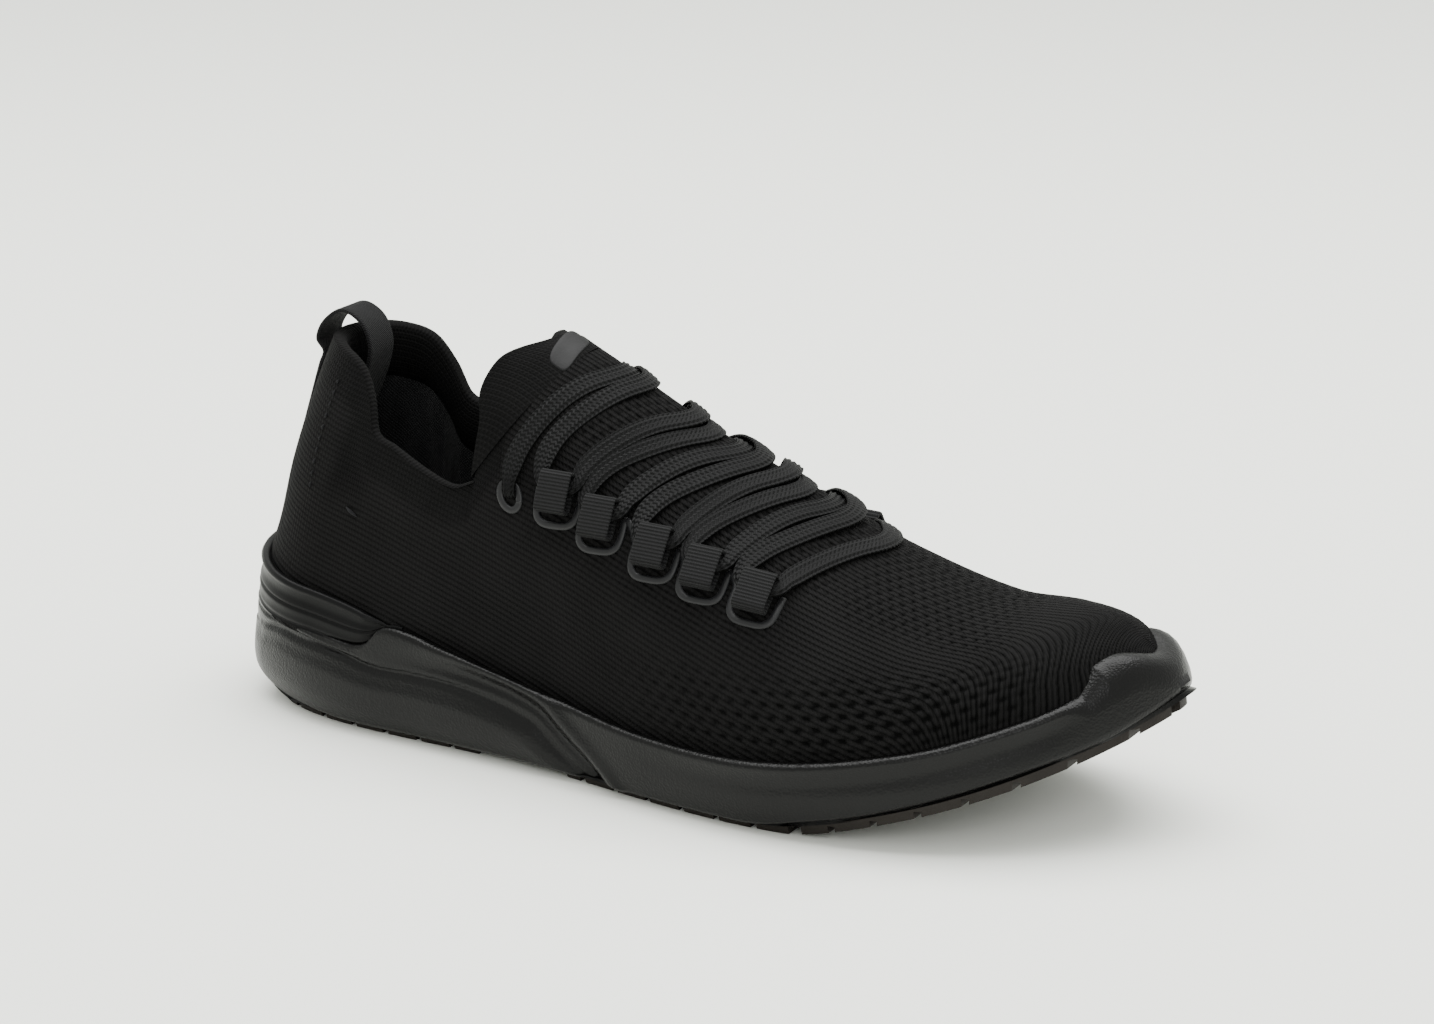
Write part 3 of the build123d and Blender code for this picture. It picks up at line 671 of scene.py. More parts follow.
def knit_relief(u, d, station, angle, ridge_way, rib):
    """Raised and sunk knit structures in mm, and the painted shade that darkens their holes, dimples and
    grooves, from 0 to 1.

    u runs along the shoe, d up from the sole's edge and ridge_way down from the ridge or collar.
    """
    lift = np.zeros_like(u)
    painted_pit_shade = np.zeros_like(u)

    # open cells in rows low on the forefoot
    low = ramp(station, 135, 175) * (1 - ramp(station, 258, 274)) * (1 - ramp(d, 13, 30)) * ramp(d, 0.5, 3)
    a, b = cells(u, d, 5.2, 3.4)
    hole = np.exp(-((a / 0.27) ** 2 + (b / 0.25) ** 2))
    size = 0.55 + 0.45 * hill(station, 228, 30)
    lift += low * size * (0.2 - 0.75 * hole)
    painted_pit_shade += low * size * hole * 1.25

    # ribs that fan out over the toes
    fan = ramp(station, 232, 258) * (1 - ramp(station, 288, 293)) * (1 - ramp(d, 22, 36)) * ramp(d, 0, 2)
    ridge = 0.5 + 0.5 * np.cos(2 * math.pi * rib / 3.4)
    strength = fan * (0.45 + 0.55 * hill(d, 6, 9))
    lift += strength * (0.32 * ridge - 0.2)
    painted_pit_shade += strength * 0.55 * (1 - ridge) ** 2

    # chevrons ahead of the laces
    top = ramp(station, 203, 214) * (1 - ramp(station, 246, 262)) * ramp(angle, 42, 56)
    a, b = cells(station, ridge_way, 3.6, 3.2)
    bent = np.exp(-(((a + 0.35 * np.abs(b)) / 0.17) ** 2 + (b / 0.34) ** 2))
    lift -= top * 0.45 * bent
    painted_pit_shade += top * 0.95 * bent

    # dimples under the laces
    under = ramp(station, 112, 122) * (1 - ramp(station, 200, 210)) * ramp(angle, 47, 56)
    a, b = cells(station, ridge_way, 3.4, 2.9)
    dimple = np.exp(-((a / 0.24) ** 2 + (b / 0.27) ** 2))
    lift += under * (0.12 - 0.45 * dimple)
    painted_pit_shade += under * 0.9 * dimple

    # fine flecks beside the eyestays
    spot = ramp(station, 100, 116) * (1 - ramp(station, 196, 212)) * hill(angle, 33, 9)
    a, b = cells(u, d, 2.7, 2.1)
    fleck = np.exp(-((a / 0.25) ** 2 + (b / 0.25) ** 2))
    lift -= spot * 0.22 * fleck
    painted_pit_shade += spot * 0.5 * fleck
    return lift, np.clip(painted_pit_shade, 0, 1)


def skin_side(side):
    grid = skin_columns(side)
    first, last = REAR_COLUMNS - JOIN_COLUMNS, REAR_COLUMNS + JOIN_COLUMNS
    for _ in range(JOIN_ROUNDS):
        grid[first:last, :, 1] += 0.25 * (grid[first - 1:last - 1, :, 1] - 2 * grid[first:last, :, 1]
                                          + grid[first + 1:last + 1, :, 1])
    count = grid.shape[0]
    steps = np.linalg.norm(np.diff(grid, axis=1), axis=2)
    arc = np.concatenate([np.zeros((count, 1)), np.cumsum(steps, 1)], 1)
    sideways = np.linalg.norm(np.diff(grid, axis=0), axis=2)
    along = np.concatenate([np.zeros((1, SKIN_ROWS)), np.cumsum(sideways, 0)], 0)
    along += REAR_FRONT - along[REAR_COLUMNS - 1]
    station = grid[..., 0]
    low = grid[:, :1, 2]
    bite = np.where(station > BUMPER_START, BUMPER_BITE, value_at(RIM, station))
    d = arc - (bite[:, :1] - low)
    rib = low + arc + 0.3 * station
    fan = ramp(station, 228, 262) * (1 - ramp(d, 8, 42))
    rib = rib * (1 - fan) + (along - 132) * fan
    angle = np.where(station >= REAR_FRONT, angle_at(station, grid[..., 2], side), 0)
    ridge_way = arc[:, -1:] - arc
    lift, painted_pit_shade = knit_relief(along, d, station, angle, ridge_way, rib)
    ahead = np.gradient(grid, axis=0)
    up = np.gradient(grid, axis=1)
    normal = unit(np.cross(ahead, up) * -side)
    seam = np.minimum(ramp(ridge_way, 0, 2.0), 1)
    edge = np.where(station < TONGUE_HINGE[0] + 2, seam, 1.0)
    grid = grid + normal * (lift * edge)[..., None]
    collar = 1 - ramp(ridge_way, 9, 13)
    flap = 1 - ramp(station - value_at(HEEL_LINE, grid[..., 2]), 24, 30)
    flap = (1 - flap) * (1 - ramp(station, 46, 60)) * ramp(grid[..., 2], 66, 76)
    calm = np.where(station < 100, np.maximum(collar, flap), 0)
    calm = np.maximum(calm, ramp(station, 262, 280) * ramp(d, 20, 30))
    uv = np.stack([along, rib], -1)
    return grid, uv, painted_pit_shade, calm


def make_upper():
    parts, painted_pit_shade, calm = [], [], []
    for side in (LATERAL, MEDIAL):
        grid, uv, side_pit_shade, smooth = skin_side(side)
        parts.append(sheet(grid, uv, flip=side > 0))
        painted_pit_shade.append(side_pit_shade.ravel())
        calm.append(smooth.ravel())
    points, faces, uv = merged(parts)
    # this mark carries the painted shade in the knit's holes and grooves
    marks = {"painted_pit_shade": np.concatenate(painted_pit_shade), "calm": np.concatenate(calm)}
    skin = add_mesh("knit_upper", points, faces, KNIT, uv, marks, weld=0.05)
    flex(skin)
    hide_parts("upper_rear", "upper_crease", "upper_forefoot")


def edge_curve(table, count):
    """Side-view curve through a table's points, spaced evenly."""
    flat = [(s, 0.0, z) for s, z in table]
    return resample(smooth_path(flat, 0.3), count)[:, [0, 2]]


def add_calm_knit(name, parts):
    """Piece of plain, closed knit."""
    points, faces, uv = merged(parts)
    calm = np.ones(len(points))
    return add_mesh(name, points, faces, KNIT, uv, {"painted_pit_shade": calm * 0, "calm": calm}, weld=0.05)


def fold_tongue(obj):
    """Bakes the piece's transform into its mesh."""
    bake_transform(obj)


def make_tongue():
    """Free end of the upper above the laces: outside, rounded edge and inside in one skin."""
    rows = 90
    outside_layers = 34
    inside_layers = 12
    thick = 3.4
    crown_drop = 2.6
    v = np.linspace(0, 1, rows)
    fold_station = TONGUE_ROOT[0] + (TONGUE_HINGE[0] - TONGUE_ROOT[0]) * v
    edge = edge_curve(TONGUE_EDGE, rows)
    layers = [(w, 0.0) for w in np.linspace(0, 1, outside_layers)]
    layers += [(1.03, 0.7), (1.045, 1.7), (1.03, 2.7)]
    layers += [(w, thick) for w in np.linspace(0.97, -0.3, inside_layers)]
    parts = []
    for side in (LATERAL, MEDIAL):
        fold_angle = angle_at(fold_station, fold_height(fold_station), side)
        edge_angle = angle_at(edge[:, 0], edge[:, 1], side)
        fold_angle[-1] = edge_angle[-1] = 90
        grid, uv = [], []
        for w, depth in layers:
            station = fold_station * (1 - w) + edge[:, 0] * w
            angle = np.clip(fold_angle * (1 - w) + edge_angle * w, 0, 90)
            normal = vamp_normal(station, angle, side)
            normal[-1, 1] = 0
            line = vamp(station, angle, side) - unit(normal) * depth
            line[:, 2] -= crown_drop * ramp(w, 0.45, 1.05) * ramp(v, 0.7, 1.0)
            grid.append(line)
            uv.append(np.stack([line[:, 0], run_length(line)], -1))
        parts.append(sheet(grid, uv, flip=side < 0))
    tongue = add_calm_knit("tongue", parts)
    fold_tongue(tongue)
    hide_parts("tongue_top")


def make_tongue_mark():
    """One plain rounded patch of thin film near the tongue's top."""
    middle_station = 108.0
    middle_y = -4.0
    half_length = 3.4
    half_width = 8.0
    turns = np.linspace(0, 2 * math.pi, 49)[:-1]
    rings = []
    for reach, lift in ((0.0, 0.2), (0.35, 0.2), (0.7, 0.2), (0.93, 0.2), (1.0, 0.12), (1.02, -0.3)):
        ahead = np.sign(np.cos(turns)) * np.abs(np.cos(turns)) ** 0.5 * half_length * reach
        across = np.sign(np.sin(turns)) * np.abs(np.sin(turns)) ** 0.5 * half_width * reach
        station = middle_station + ahead
        flat = np.stack([station, across + middle_y, value_at(RIDGE_HEIGHT, station)], -1)
        rings.append(snap(flat, lift)[0])
    rings = np.array(rings)
    points, faces, uv = sheet(rings, rings[..., :2], wrap=True)
    mark = add_mesh("tongue_patch_film", points, faces, MARK, uv, weld=0.01)
    fold_tongue(mark)
    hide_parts("tongue_patch")


def make_collar():
    """Padded roll inside the collar, then the lining down to the footbed."""
    profile = [(0.0, 0.0), (0.5, 0.6), (1.4, 1.0), (2.5, 1.0), (3.5, 0.5), (4.3, -0.6), (5.0, -2.2),
               (5.8, -4.6), (6.4, -7.5), (6.6, -10.5), (6.3, -13), (5.6, -15), (4.6, -16.4)]
    roll_height = 12.5
    lining_rows = 46
    lining_depth = 5.4
    above_bed = 5.5
    shares = np.linspace(0, 1, 150)
    rolls, linings = [], []
    for side in (LATERAL, MEDIAL):
        top = collar_height(shares, side)
        station = rear(shares, top, side)[:, 0]
        thick = 1 + 0.45 * hill(shares, 0, 0.22)
        along = run_length(rear(shares, top, side))
        grid, uv = [], []
        for depth, rise in profile:
            z = top + rise
            grid.append(off_rear(shares, z, side, -depth * thick, np.minimum(z, top)))
            uv.append(np.stack([along, np.full_like(along, rise)], -1))
        rolls.append(sheet(grid, uv, flip=side < 0))
        floor = value_at(BED, station) + above_bed
        grid, uv = [], []
        for share in np.linspace(0, 1, lining_rows):
            z = (top - roll_height) * (1 - share) + floor * share
            fold = 0.5 * np.sin(along / 2.6 + 7 * share) * hill(share, 0.3, 0.3)
            fold += 0.35 * np.sin(along / 1.3 - 4 * share) * hill(share, 0.5, 0.3)
            depth = lining_depth * thick * (1 - 0.25 * share) + fold * ramp(along, 0, 6)
            grid.append(off_rear(shares, z, side, -depth))
            uv.append(np.stack([along, z], -1))
        linings.append(sheet(grid, uv, flip=side < 0))
    roll = add_calm_knit("collar_roll", rolls)
    settle(roll, "rearfoot", "padding", "collar_padding")
    points, faces, uv = merged(linings)
    lining = add_mesh("lining", points, faces, LINING, uv, weld=0.05)
    settle(lining, "rearfoot", "lining", "heel_lining")


# ---------------- sole
def sole_outline(count):
    """Plan outline of the sole as closed design points at z 0."""
    corners = [(0, 0), *SOLE_LATERAL, (300, 10), *SOLE_MEDIAL]
    return smooth_path([(s, y, 0.0) for s, y in corners], 300 / count, closed=True)


def top_height(station):
    rise = BUMPER_BITE + (station - BUMPER_START) * 1.3
    cap = np.where(station < BUMPER[0][0], rise, value_at(BUMPER, station))
    rim = value_at(RIM, np.minimum(station, BUMPER_START))
    return np.where(station < BUMPER_START, rim, cap)


def sole_relief(station, z):
    """How far the sole's wall stands out of its plain loft, in mm."""
    line = resample(smooth_path([(s, 0.0, h) for s, h in WING_GROOVE], 0.5), 400)[:, [0, 2]]
    flat = np.stack([station.ravel(), z.ravel()], -1)
    near = np.zeros(len(flat))
    below = np.zeros(len(flat))
    batch = 4000
    for start in range(0, len(flat), batch):
        part = flat[start:start + batch]
        gap = np.linalg.norm(part[:, None] - line[None], axis=2)
        k = gap.argmin(1)
        near[start:start + batch] = gap.min(1)
        tangent = np.gradient(line, axis=0)[k]
        offset = part - line[k]
        turn = tangent[:, 0] * offset[:, 1] - tangent[:, 1] * offset[:, 0]
        below[start:start + batch] = np.sign(turn)
    signed = (near * below).reshape(station.shape)
    near = near.reshape(station.shape)
    fade = ramp(station, 8, 20)
    out = -1.3 * np.exp(-(near / (1.1 + 0.8 * ramp(station, 85, 120))) ** 2) * fade
    block = ramp(-signed, 0.5, 7) * (1 - ramp(-signed, 14, 30)) * ramp(station, -5, 10)
    out += 1.9 * block * np.exp(-((z - 12) / 10) ** 2)
    wing = ramp(station, 60, 110) * (1 - ramp(station, 150, 185))
    out += wing * (1.0 * np.exp(-((signed - 9.5) / 2.6) ** 2) - 2.2 * np.exp(-((signed - 4.2) / 2.6) ** 2))
    depth = top_height(station) - z
    rails = 1 - ramp(station, 44, 58)
    out -= rails * 0.8 * (np.exp(-((depth - 1.6) / 0.45) ** 2) + np.exp(-((depth - 4.0) / 0.5) ** 2))
    fore = ramp(station, 150, 200) * (1 - ramp(station, 270, 284))
    out -= fore * 0.8 * np.exp(-((depth - 6.5) / 3.0) ** 2)
    out += fore * 0.35 * np.exp(-((depth - 1.6) / 1.4) ** 2)
    return out


def make_midsole():
    middle_station = LENGTH / 2
    middle_width = 48                # half of the sole's mean width, by which its draw narrows it
    outline = sole_outline(760)
    base_station = outline[:, 0]
    low = np.maximum(value_at(GROUND, base_station), 0) + OUTSOLE_THICK
    shares = np.linspace(0, 1, 46)
    rings = []
    for inward in (0.98, 0.8, 0.6, 0.4, 0.2, 0.08):
        middle = value_at(SOLE_MIDDLE, base_station)
        y = middle + (outline[:, 1] - middle) * (1 - inward)
        station = middle_station + (base_station - middle_station) * (1 - 0.03 * inward)
        rings.append(np.stack([station, y, low - 0.3 + 0.3 * inward], -1))
    top = top_height(middle_station + (base_station - middle_station) * 0.985)
    under = 2.1 * ramp(base_station, 14, 44) * (1 - ramp(base_station, 190, 215))
    tuck = 1 - 0.75 * (1 - ramp(base_station, 12, 44)) - 0.75 * ramp(base_station, 262, 286)
    levels = [(low - under + rise, draw * tuck) for draw, rise in ((4.6, 0.0), (3.0, 0.1), (1.7, 0.6),
                                                                   (0.8, 1.3))]
    start = low - under + 2.2
    cap = ramp(base_station, 276, 290)
    brow = [(1.6, 0.0, 9.0, 0.0), (0.8, 0.25, 6.0, 0.5), (0.2, 0.8, 3.4, 1.4), (0.0, 1.6, 1.6, 2.8),
            (0.1, 2.5, 0.5, 4.6), (0.6, 3.6, 0.0, 6.6), (1.8, 5.2, 0.6, 8.4), (4.0, 7.0, 3.5, 10.0)]
    end = top - (1.6 * (1 - cap) + 9.0 * cap)
    levels += [(start + (end - start) * t, 0.0) for t in shares[:-1]]
    levels += [(top - (a * (1 - cap) + c * cap), b * (1 - cap) + d * cap) for a, b, c, d in brow]
    for z, extra in levels:
        draw = value_at(SOLE_DRAW, z) + extra
        station = middle_station + (base_station - middle_station) * (1 - draw / middle_station)
        draw = draw - sole_relief(station, z)
        station = middle_station + (base_station - middle_station) * (1 - draw / middle_station)
        rings.append(np.stack([station, outline[:, 1] * (1 - draw / middle_width), z], -1))
    points, faces, _ = sheet(rings, wrap=True, flip=True)
    body = add_mesh("midsole", points, faces, FOAM, weld=0.01)
    flex(body)
    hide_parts("midsole_rear", "midsole_forefoot")


def make_cage():
    """Moulded band round the heel with its lip, its middle line and its foot groove."""
    shares = np.linspace(0, 0.82, 130)
    heights = np.linspace(0, 1, 34)
    parts = []
    for side in (LATERAL, MEDIAL):
        foot = rear(shares, np.full_like(shares, 36.0), side)[:, 0]
        low = value_at(RIM, foot) - 1.0
        top = np.maximum(value_at(CAGE_TOP, foot), low + 0.6)
        fade = 0.25 + 0.75 * (1 - ramp(foot, 56, 63.5))
        grid = []
        for h in heights:
            z = low + (top - low) * h
            out = 2.5 - 0.55 * hill(h, 0.7, 0.14) - 0.9 * hill(h, 0.05, 0.06) - 0.7 * hill(h, 0.46, 0.03)
            out += 0.45 * hill(h, 0.93, 0.05) - 0.35 * hill(h, 0.24, 0.12)
            grid.append(off_rear(shares, z, side, out * fade))
        for out, rise in ((2.3, 0.35), (1.5, 0.5), (0.6, 0.3), (-0.4, -0.4)):
            grid.append(off_rear(shares, top + rise, side, out * fade))
        parts.append(sheet(grid, flip=side > 0))
    points, faces, uv = merged(parts)
    cage = add_mesh("heel_cage_band", points, faces, CAGE, uv, weld=0.05)
    settle(cage, "rearfoot", "cage_plastic", "heel_cage")


def bed_piece(name, low, high, margin, material, node, crown):
    """Layer over the foot's bed."""
    stations = np.linspace(12, 284, 180)
    across = np.linspace(-1, 1, 41)
    layers = []
    for rise, shrink in ((low, 1.2), (low + 0.2 * (high - low), 0.2), (high - 0.6, 0.0), (high, 1.4)):
        rows = []
        for k in across:
            side = MEDIAL if k > 0 else LATERAL
            z = value_at(BED, stations) + rise
            front = vamp_parts(np.maximum(stations, REAR_FRONT), side)
            vamp_half = side * front[0] + front[1]
            rear_half = side_half_width(np.minimum(stations, REAR_FRONT), np.maximum(z, 32), side)
            half = np.where(stations < REAR_FRONT, rear_half, vamp_half) - margin - shrink
            toe_end = np.clip((286 - stations) / 14, 0.02, 1) ** 0.5
            heel_end = np.clip((stations - 10) / 10, 0.05, 1) ** 0.5
            ends = toe_end * heel_end
            middle = value_at(SOLE_MIDDLE, stations) * (1 - ends)
            y = k * half * ends + middle
            rows.append(np.stack([stations, y, z + crown * (1 - k * k) * (rise == high)], -1))
        layers.append(np.array(rows))
    bottom, top = layers[0], layers[-1]
    parts = [sheet(bottom, bottom[..., :2], flip=True), sheet(top, top[..., :2])]
    rims = [np.vstack([rows[0], rows[1:-1, -1], rows[-1][::-1], rows[1:-1, 0][::-1]]) for rows in layers]
    rim = np.array(rims)
    parts.append(sheet(rim, rim[..., [0, 2]], wrap=True))
    points, faces, uv = merged(parts)
    obj = add_mesh(name, points, faces, material, uv, weld=0.02)
    flex(obj)
    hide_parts(node)
    return obj


# ---------------- lacing
def lifted_place(station, turn, lift):
    """Point above the vamp; the turn runs from 0 at the lateral edge to 180 at the medial one."""
    side = MEDIAL if turn > 90 else LATERAL
    angle = min(180 - turn if turn > 90 else turn, 88.5)
    return vamp(station, angle, side) + vamp_normal(station, angle, side) * lift


def loop_frame(index, side):
    """Middle of a loop's foot on the vamp, with its directions up, out and along."""
    station, angle = LOOPS[index]
    spot = vamp(station, angle, side)
    up = unit(vamp(station, angle + 1, side) - vamp(station, angle - 1, side))
    out = vamp_normal(station, angle, side)
    along = np.cross(up, out)
    along = along * np.sign(along[0])
    return spot + out * (EYESTAY_THICK + 0.4), up, out, along


def loop_ends(index, side):
    """Where the lace turns behind and ahead of a loop."""
    spot, up, out, along = loop_frame(index, side)
    middle = spot + out * (LOOP_DEPTH / 2) + up * 0.8
    return [middle - along * LACE_REACH, middle + along * LACE_REACH]


def crossing(row, from_loop, to_loop, side, lift):
    """Lace points over the ridge; a row's two strands lie side by side and cross near the medial side."""
    start = LOOPS[from_loop] if from_loop >= 0 else EYELET
    finish = LOOPS[to_loop] if to_loop >= 0 else EYELET
    start_station = start[0] + LACE_REACH * (1 if from_loop == row - 1 else -1) * (from_loop >= 0)
    end_station = finish[0] + LACE_REACH * (1 if to_loop == row - 1 else -1) * (to_loop >= 0)
    bump = ROW_RIDGE[row] - (start_station + end_station) / 2
    clear_of_loop = 0.1
    points = []
    for share in (clear_of_loop, 0.3, 0.5, 0.7, 1 - clear_of_loop):
        turn = start[1] + (180 - start[1] - finish[1]) * share
        station = start_station + (end_station - start_station) * share
        swing = (share - clear_of_loop) / (1 - 2 * clear_of_loop)
        station += bump * (1 - abs(1 - 2 * swing) ** 1.15)
        from_lateral = share if side < 0 else 1 - share
        lateral_loop = from_loop if side < 0 else to_loop
        spread = STRAND_SPREAD * (1 if lateral_loop == row else -1) * (row < 5)
        station += spread * float(ramp(from_lateral, 0.02, 0.25) * (1 - ramp(from_lateral, 0.6, 0.8)))
        rise = 1.5 + lift * float(hill(from_lateral, 0.72, 0.24))
        points.append(lifted_place(station, 180 - turn if side > 0 else turn, rise))
    return points


def lace_end(side):
    """Tail tucked inside, then out through the top eyelet."""
    places = [*reversed(LACE_TAIL), (*EYELET, -4.5), (*EYELET, 2.6)]
    return [lifted_place(s, 180 - a if side > 0 else a, lift) for s, a, lift in places]


def lace_route():
    """One lace from the lateral eyelet down to the last row and back up to the medial eyelet."""
    route = lace_end(LATERAL)
    side = LATERAL
    for row in range(5):
        route += crossing(row, row - 1, row, side, 0.0)
        side = -side
        route += loop_ends(row, side)
    route += crossing(5, 4, 4, side, 0.0)
    side = -side
    for row in reversed(range(5)):
        route += reversed(loop_ends(row, side))
        route += crossing(row, row, row - 1, side, 2.4)
        side = -side
    return np.array(route + list(reversed(lace_end(MEDIAL))))


def nurbs_points(route):
    """Points of the smooth curve that a route controls, in design mm."""
    curve = bpy.data.curves.new("route", "CURVE")
    curve.dimensions = "3D"
    curve.resolution_u = 10
    spline = curve.splines.new("NURBS")
    spline.points.add(len(route) - 1)
    for point, where in zip(spline.points, place(route)):
        point.co = (*where, 1)
    spline.order_u = 3
    spline.use_endpoint_u = True
    holder = bpy.data.objects.new("route", curve)
    line = bpy.data.meshes.new_from_object(holder)
    metres = np.array([v.co for v in line.vertices])
    bpy.data.objects.remove(holder)
    bpy.data.curves.remove(curve)
    bpy.data.meshes.remove(line)
    return metres * 1000 - np.array([CENTRING[0] - LENGTH / 2, CENTRING[1], 0.0])


def make_lace_cord():
    lanes_across = 4
    path = resample(nurbs_points(lace_route()), 1250)
    _, normals = snap(path)
    bunch = np.zeros(len(path))
    for side in (LATERAL, MEDIAL):
        for index in range(len(LOOPS)):
            spot, up, out, _ = loop_frame(index, side)
            gap = np.linalg.norm(path - (spot + out * LOOP_DEPTH / 2), axis=1)
            bunch = np.maximum(bunch, 1 - ramp(gap, 5, 13))
        gap = np.linalg.norm(path - vamp(*EYELET, side), axis=1)
        bunch = np.maximum(bunch, 1 - ramp(gap, 3, 10))
    width = LACE_WIDTH * (1 - 0.34 * bunch)
    thick = 1.7 + 0.5 * bunch
    ring = rounded_bar(1.0, 1.0, 44, power=3.2)
    lanes = 1 + 0.34 * np.cos(ring[:, 0] * lanes_across * 2 * math.pi)
    ring[:, 1] *= lanes / lanes.max()
    points, faces, uv = sweep(path, normals, ring, width, thick)
    uv[:, 1] *= LACE_WIDTH
    lace = add_mesh("flat_lace", points, faces, LACE, uv)
    settle(lace, "rearfoot", "lace", "lace")


def make_loop(index, side):
    """Webbing folded into a flat loop, ribbed along the shoe."""
    spot, up, out, along = loop_frame(index, side)
    middle = spot + out * (LOOP_DEPTH / 2)
    turn = np.linspace(0, 2 * math.pi, 721)
    reach = LOOP_HEIGHT / 2 - LOOP_DEPTH / 2
    outline = np.stack([np.clip(2.2 * np.cos(turn), -1, 1) * reach + np.cos(turn) * LOOP_DEPTH / 2,
                        np.sin(turn) * LOOP_DEPTH / 2], -1)
    outline[:, 1] = np.sign(outline[:, 1]) * np.abs(np.sin(turn)) ** 0.55 * LOOP_DEPTH / 2
    outline = resample(outline, 150)[:-1]
    around = run_length(np.vstack([outline, outline[:1]]))[:-1]
    ahead = unit(np.roll(outline, -1, 0) - np.roll(outline, 1, 0))
    inward = np.stack([-ahead[:, 1], ahead[:, 0]], -1)
    rib_height = 0.11
    rib_count = 30
    ribs = rib_height * (0.5 + 0.5 * np.cos(2 * math.pi * around / (around[-1] / rib_count)))
    half = LOOP_WIDTH / 2
    section = [(-half, 0.45), (-half + 0.05, 0.2), (-half + 0.3, 0.02)]
    section += [(x, 0.0) for x in np.linspace(-half + 0.6, half - 0.6, 9)]
    section += [(half - 0.3, 0.02), (half - 0.05, 0.2), (half, 0.45), (half - 0.1, LOOP_WALL)]
    section += [(-half + 0.1, LOOP_WALL)]
    points, uv = [], []
    for x, depth in section:
        flat = outline + inward * (depth + rib_height - ribs * (depth < 0.4))[:, None]
        points.append(middle + up * flat[:, :1] + out * flat[:, 1:] + along * x)
        uv.append(np.stack([around, np.full_like(around, x)], -1))
    count = len(outline)
    faces = grid_faces(len(section), count, wrap=True, flip=side < 0)
    last = (len(section) - 1) * count
    for k in range(count):
        n = (k + 1) % count
        quad = (last + k, last + n, n, k)
        faces.append(tuple(reversed(quad)) if side < 0 else quad)
    name = f"webbing_loop_{SIDE_NAMES[side]}_{index + 1}"
    loop = add_mesh(name, np.vstack(points), faces, WEBBING, np.vstack(uv))
    settle(loop, "rearfoot", "loop_webbing", f"lace_loop_{SIDE_NAMES[side]}_{index + 1}")


def make_eyestay(side):
    """Welded bead: a ring round the top eyelet, then a scallop round the foot of each loop."""
    half_bead = [(-1.15, -0.5), (-1.1, 0.05), (-0.85, 0.3), (-0.45, 0.44), (0.0, 0.48), (0.45, 0.44),
                 (0.85, 0.3), (1.1, 0.05), (1.15, -0.5)]
    parts = []
    scallops = []
    for index in range(len(LOOPS)):
        spot, up, _, along = loop_frame(index, side)
        for dx, dy in ((-7.0, 1.5), (-6.8, -3.5), (-6.2, -6.6), (-4.2, -8.3), (0, -8.7), (4.2, -8.3),
                       (6.2, -6.6), (6.8, -3.5), (7.0, 1.5)):
            scallops.append(spot + along * dx + up * dy)
    path, normals = snap(smooth_path(scallops, 0.6), 0.25)
    parts.append(sweep(path, normals, half_bead))
    station, angle = EYELET
    centre = vamp(station, angle, side)
    up = unit(vamp(station, angle + 1, side) - vamp(station, angle - 1, side))
    along = unit(vamp(station + 1, angle, side) - vamp(station - 1, angle, side))
    turns = np.linspace(0, 2 * math.pi, 61)
    radius = 3.6
    ring = centre + (np.cos(turns)[:, None] * along + np.sin(turns)[:, None] * up) * radius
    path, normals = snap(ring, 0.25)
    parts.append(sweep(path, normals, half_bead))
    points, faces, uv = merged(parts)
    bead = add_mesh(f"eyestay_bead_{SIDE_NAMES[side]}", points, faces, FILM, uv)
    settle(bead, "rearfoot", "eyestay_film", f"eyestay_{SIDE_NAMES[side]}")


# ---------------- pull tab and stitches
def make_pull_tab():
    """One tape: up the back of the heel, over the finger gap and down inside the collar."""
    heights = np.linspace(62, 106, 12)
    back = [(float(value_at(HEEL_LINE, z)) - 0.8, 0.0, z) for z in heights]
    arch = [(21.25, 0, 109.5), (24.0, 0, 115.2), (30.5, 0, 119.15), (37.0, 0, 116.2), (39.9, 0, 109.5)]
    inside = [(39.0, 0, 103), (35.5, 0, 94), (31.8, 0, 86), (28.6, 0, 79)]
    path = smooth_path([*back, *arch, *inside], 0.7)
    tangent = unit(np.gradient(path, axis=0))
    normals = np.stack([-tangent[:, 2], np.zeros(len(path)), tangent[:, 0]], -1)
    profile = rounded_bar(TAPE_WIDTH, TAPE_THICK, 44, power=7)
    profile[:, 1] *= 1 + 0.10 * hill(np.abs(profile[:, 0]), TAPE_WIDTH / 2 - 0.9, 0.5)
    points, faces, uv = sweep(path, normals, profile)
    tape = add_mesh("pull_tab_tape", points, faces, TAPE, uv)
    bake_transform(tape)
    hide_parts("pull_tab_outer_leg", "pull_tab_inner_leg", "pull_tab_loop")


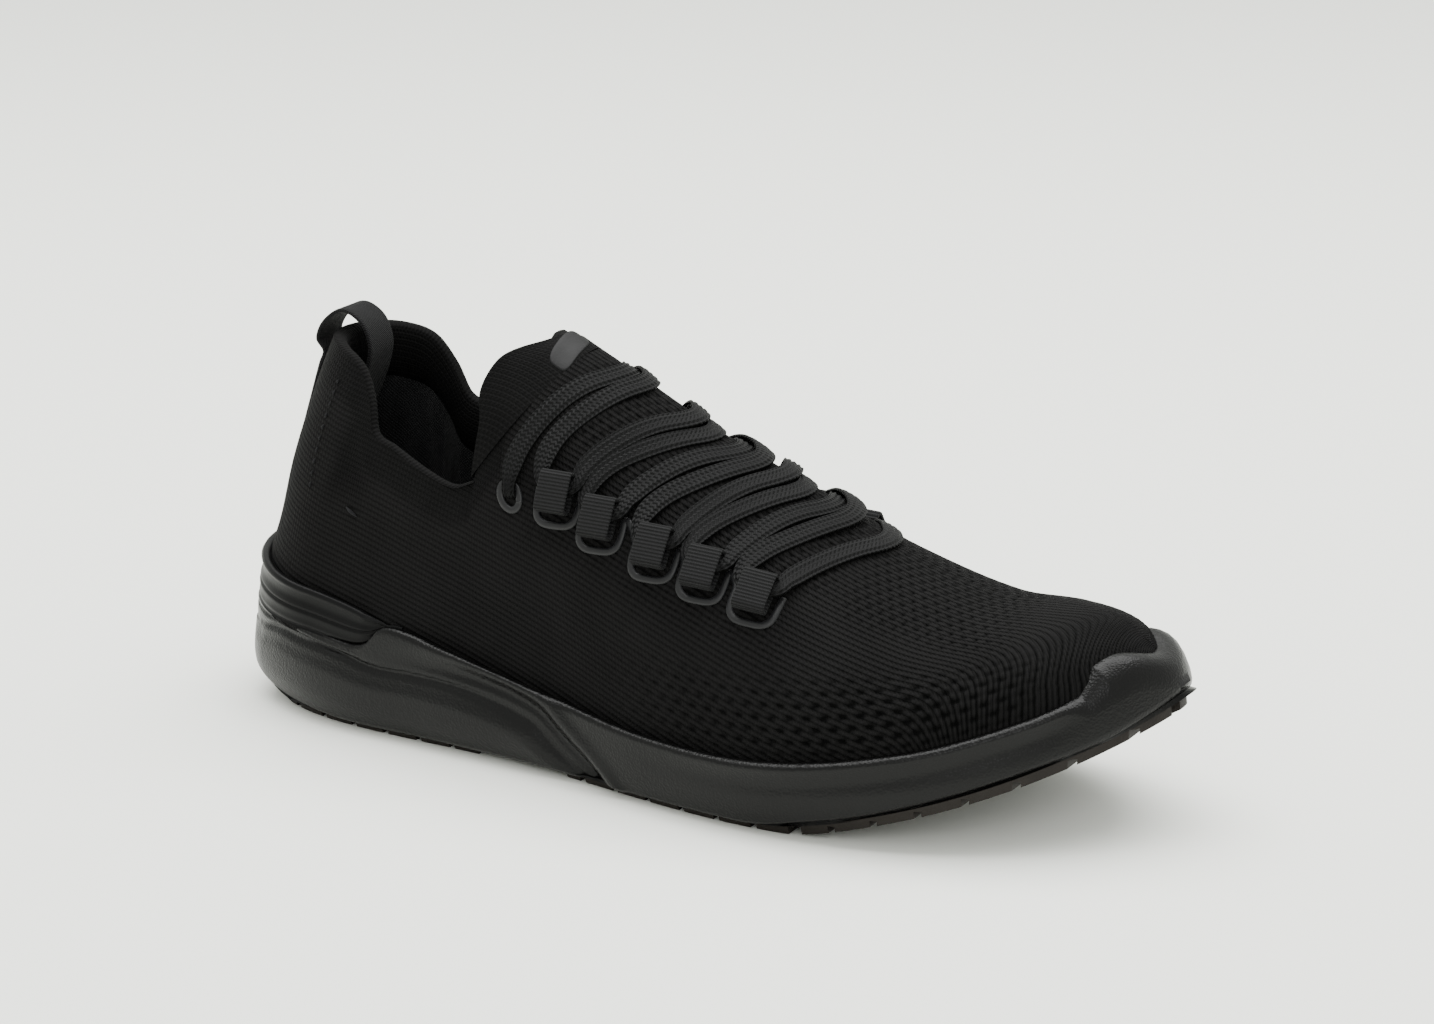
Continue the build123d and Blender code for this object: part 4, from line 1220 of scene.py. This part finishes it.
def stitches(name, line, normals, length, gap, size):
    """Row of separate stitches laid along a line."""
    step = 0.25
    line_length = np.linalg.norm(np.diff(line, axis=0), axis=1).sum()
    count = int(line_length / step)
    path = resample(np.hstack([line, normals]), count)
    per_stitch = max(3, int(length / step))
    per_gap = max(1, int(gap / step))
    parts = []
    for start in range(0, count - per_stitch, per_stitch + per_gap):
        run = path[start:start + per_stitch]
        bulge = np.sin(np.linspace(0.25, math.pi - 0.25, per_stitch))
        centre = run[:, :3] + unit(run[:, 3:]) * (bulge * size * 0.5)[:, None]
        parts.append(sweep(centre, unit(run[:, 3:]), rounded_bar(size, size, 8, 2), bulge, bulge))
    points, faces, uv = merged(parts)
    thread = add_mesh(name, points, faces, THREAD, uv)
    settle(thread, "rearfoot", "knit")


def heel_stitches(side):
    heights = np.linspace(103, 68, 40)
    shares = 0.42 + 0.03 * np.linspace(0, 1, 40) ** 2
    line = rear(shares, heights, side)
    normals = rear_normal(shares, heights, side)
    stitches(f"heel_stitch_{SIDE_NAMES[side]}", line, normals, 2.0, 1.6, 0.6)
    shares = np.linspace(0.60, 0.65, 10)
    heights = np.linspace(67.5, 64.5, 10)
    bar = rear(shares, heights, side)
    stitches(f"bartack_{SIDE_NAMES[side]}", bar, rear_normal(shares, heights, side), 4.5, 0.3, 1.0)


make_camera()
make_studio()
make_lace_cord()
make_upper()
make_tongue()
make_tongue_mark()
make_collar()
make_midsole()
make_cage()
bed_piece("footbed", 1.6, 5.6, 3.2, SOCKLINER, "sockliner", 0.8)
bed_piece("strobel_sheet", 0.1, 1.3, 2.6, BOARD, "strobel_board", 0.0)
for side in (LATERAL, MEDIAL):
    make_eyestay(side)
    heel_stitches(side)
    for index in range(len(LOOPS)):
        make_loop(index, side)
make_pull_tab()

# The CAD nodes that stay visible, by how their names start.
NODE_FINISH = {"outsole": RUBBER, "aglet": TIP, "heel_counter": STIFFENER, "toe_puff": STIFFENER}
for name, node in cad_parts.items():
    for start, material in NODE_FINISH.items():
        if name.startswith(start):
            node.data.materials.clear()
            node.data.materials.append(material)
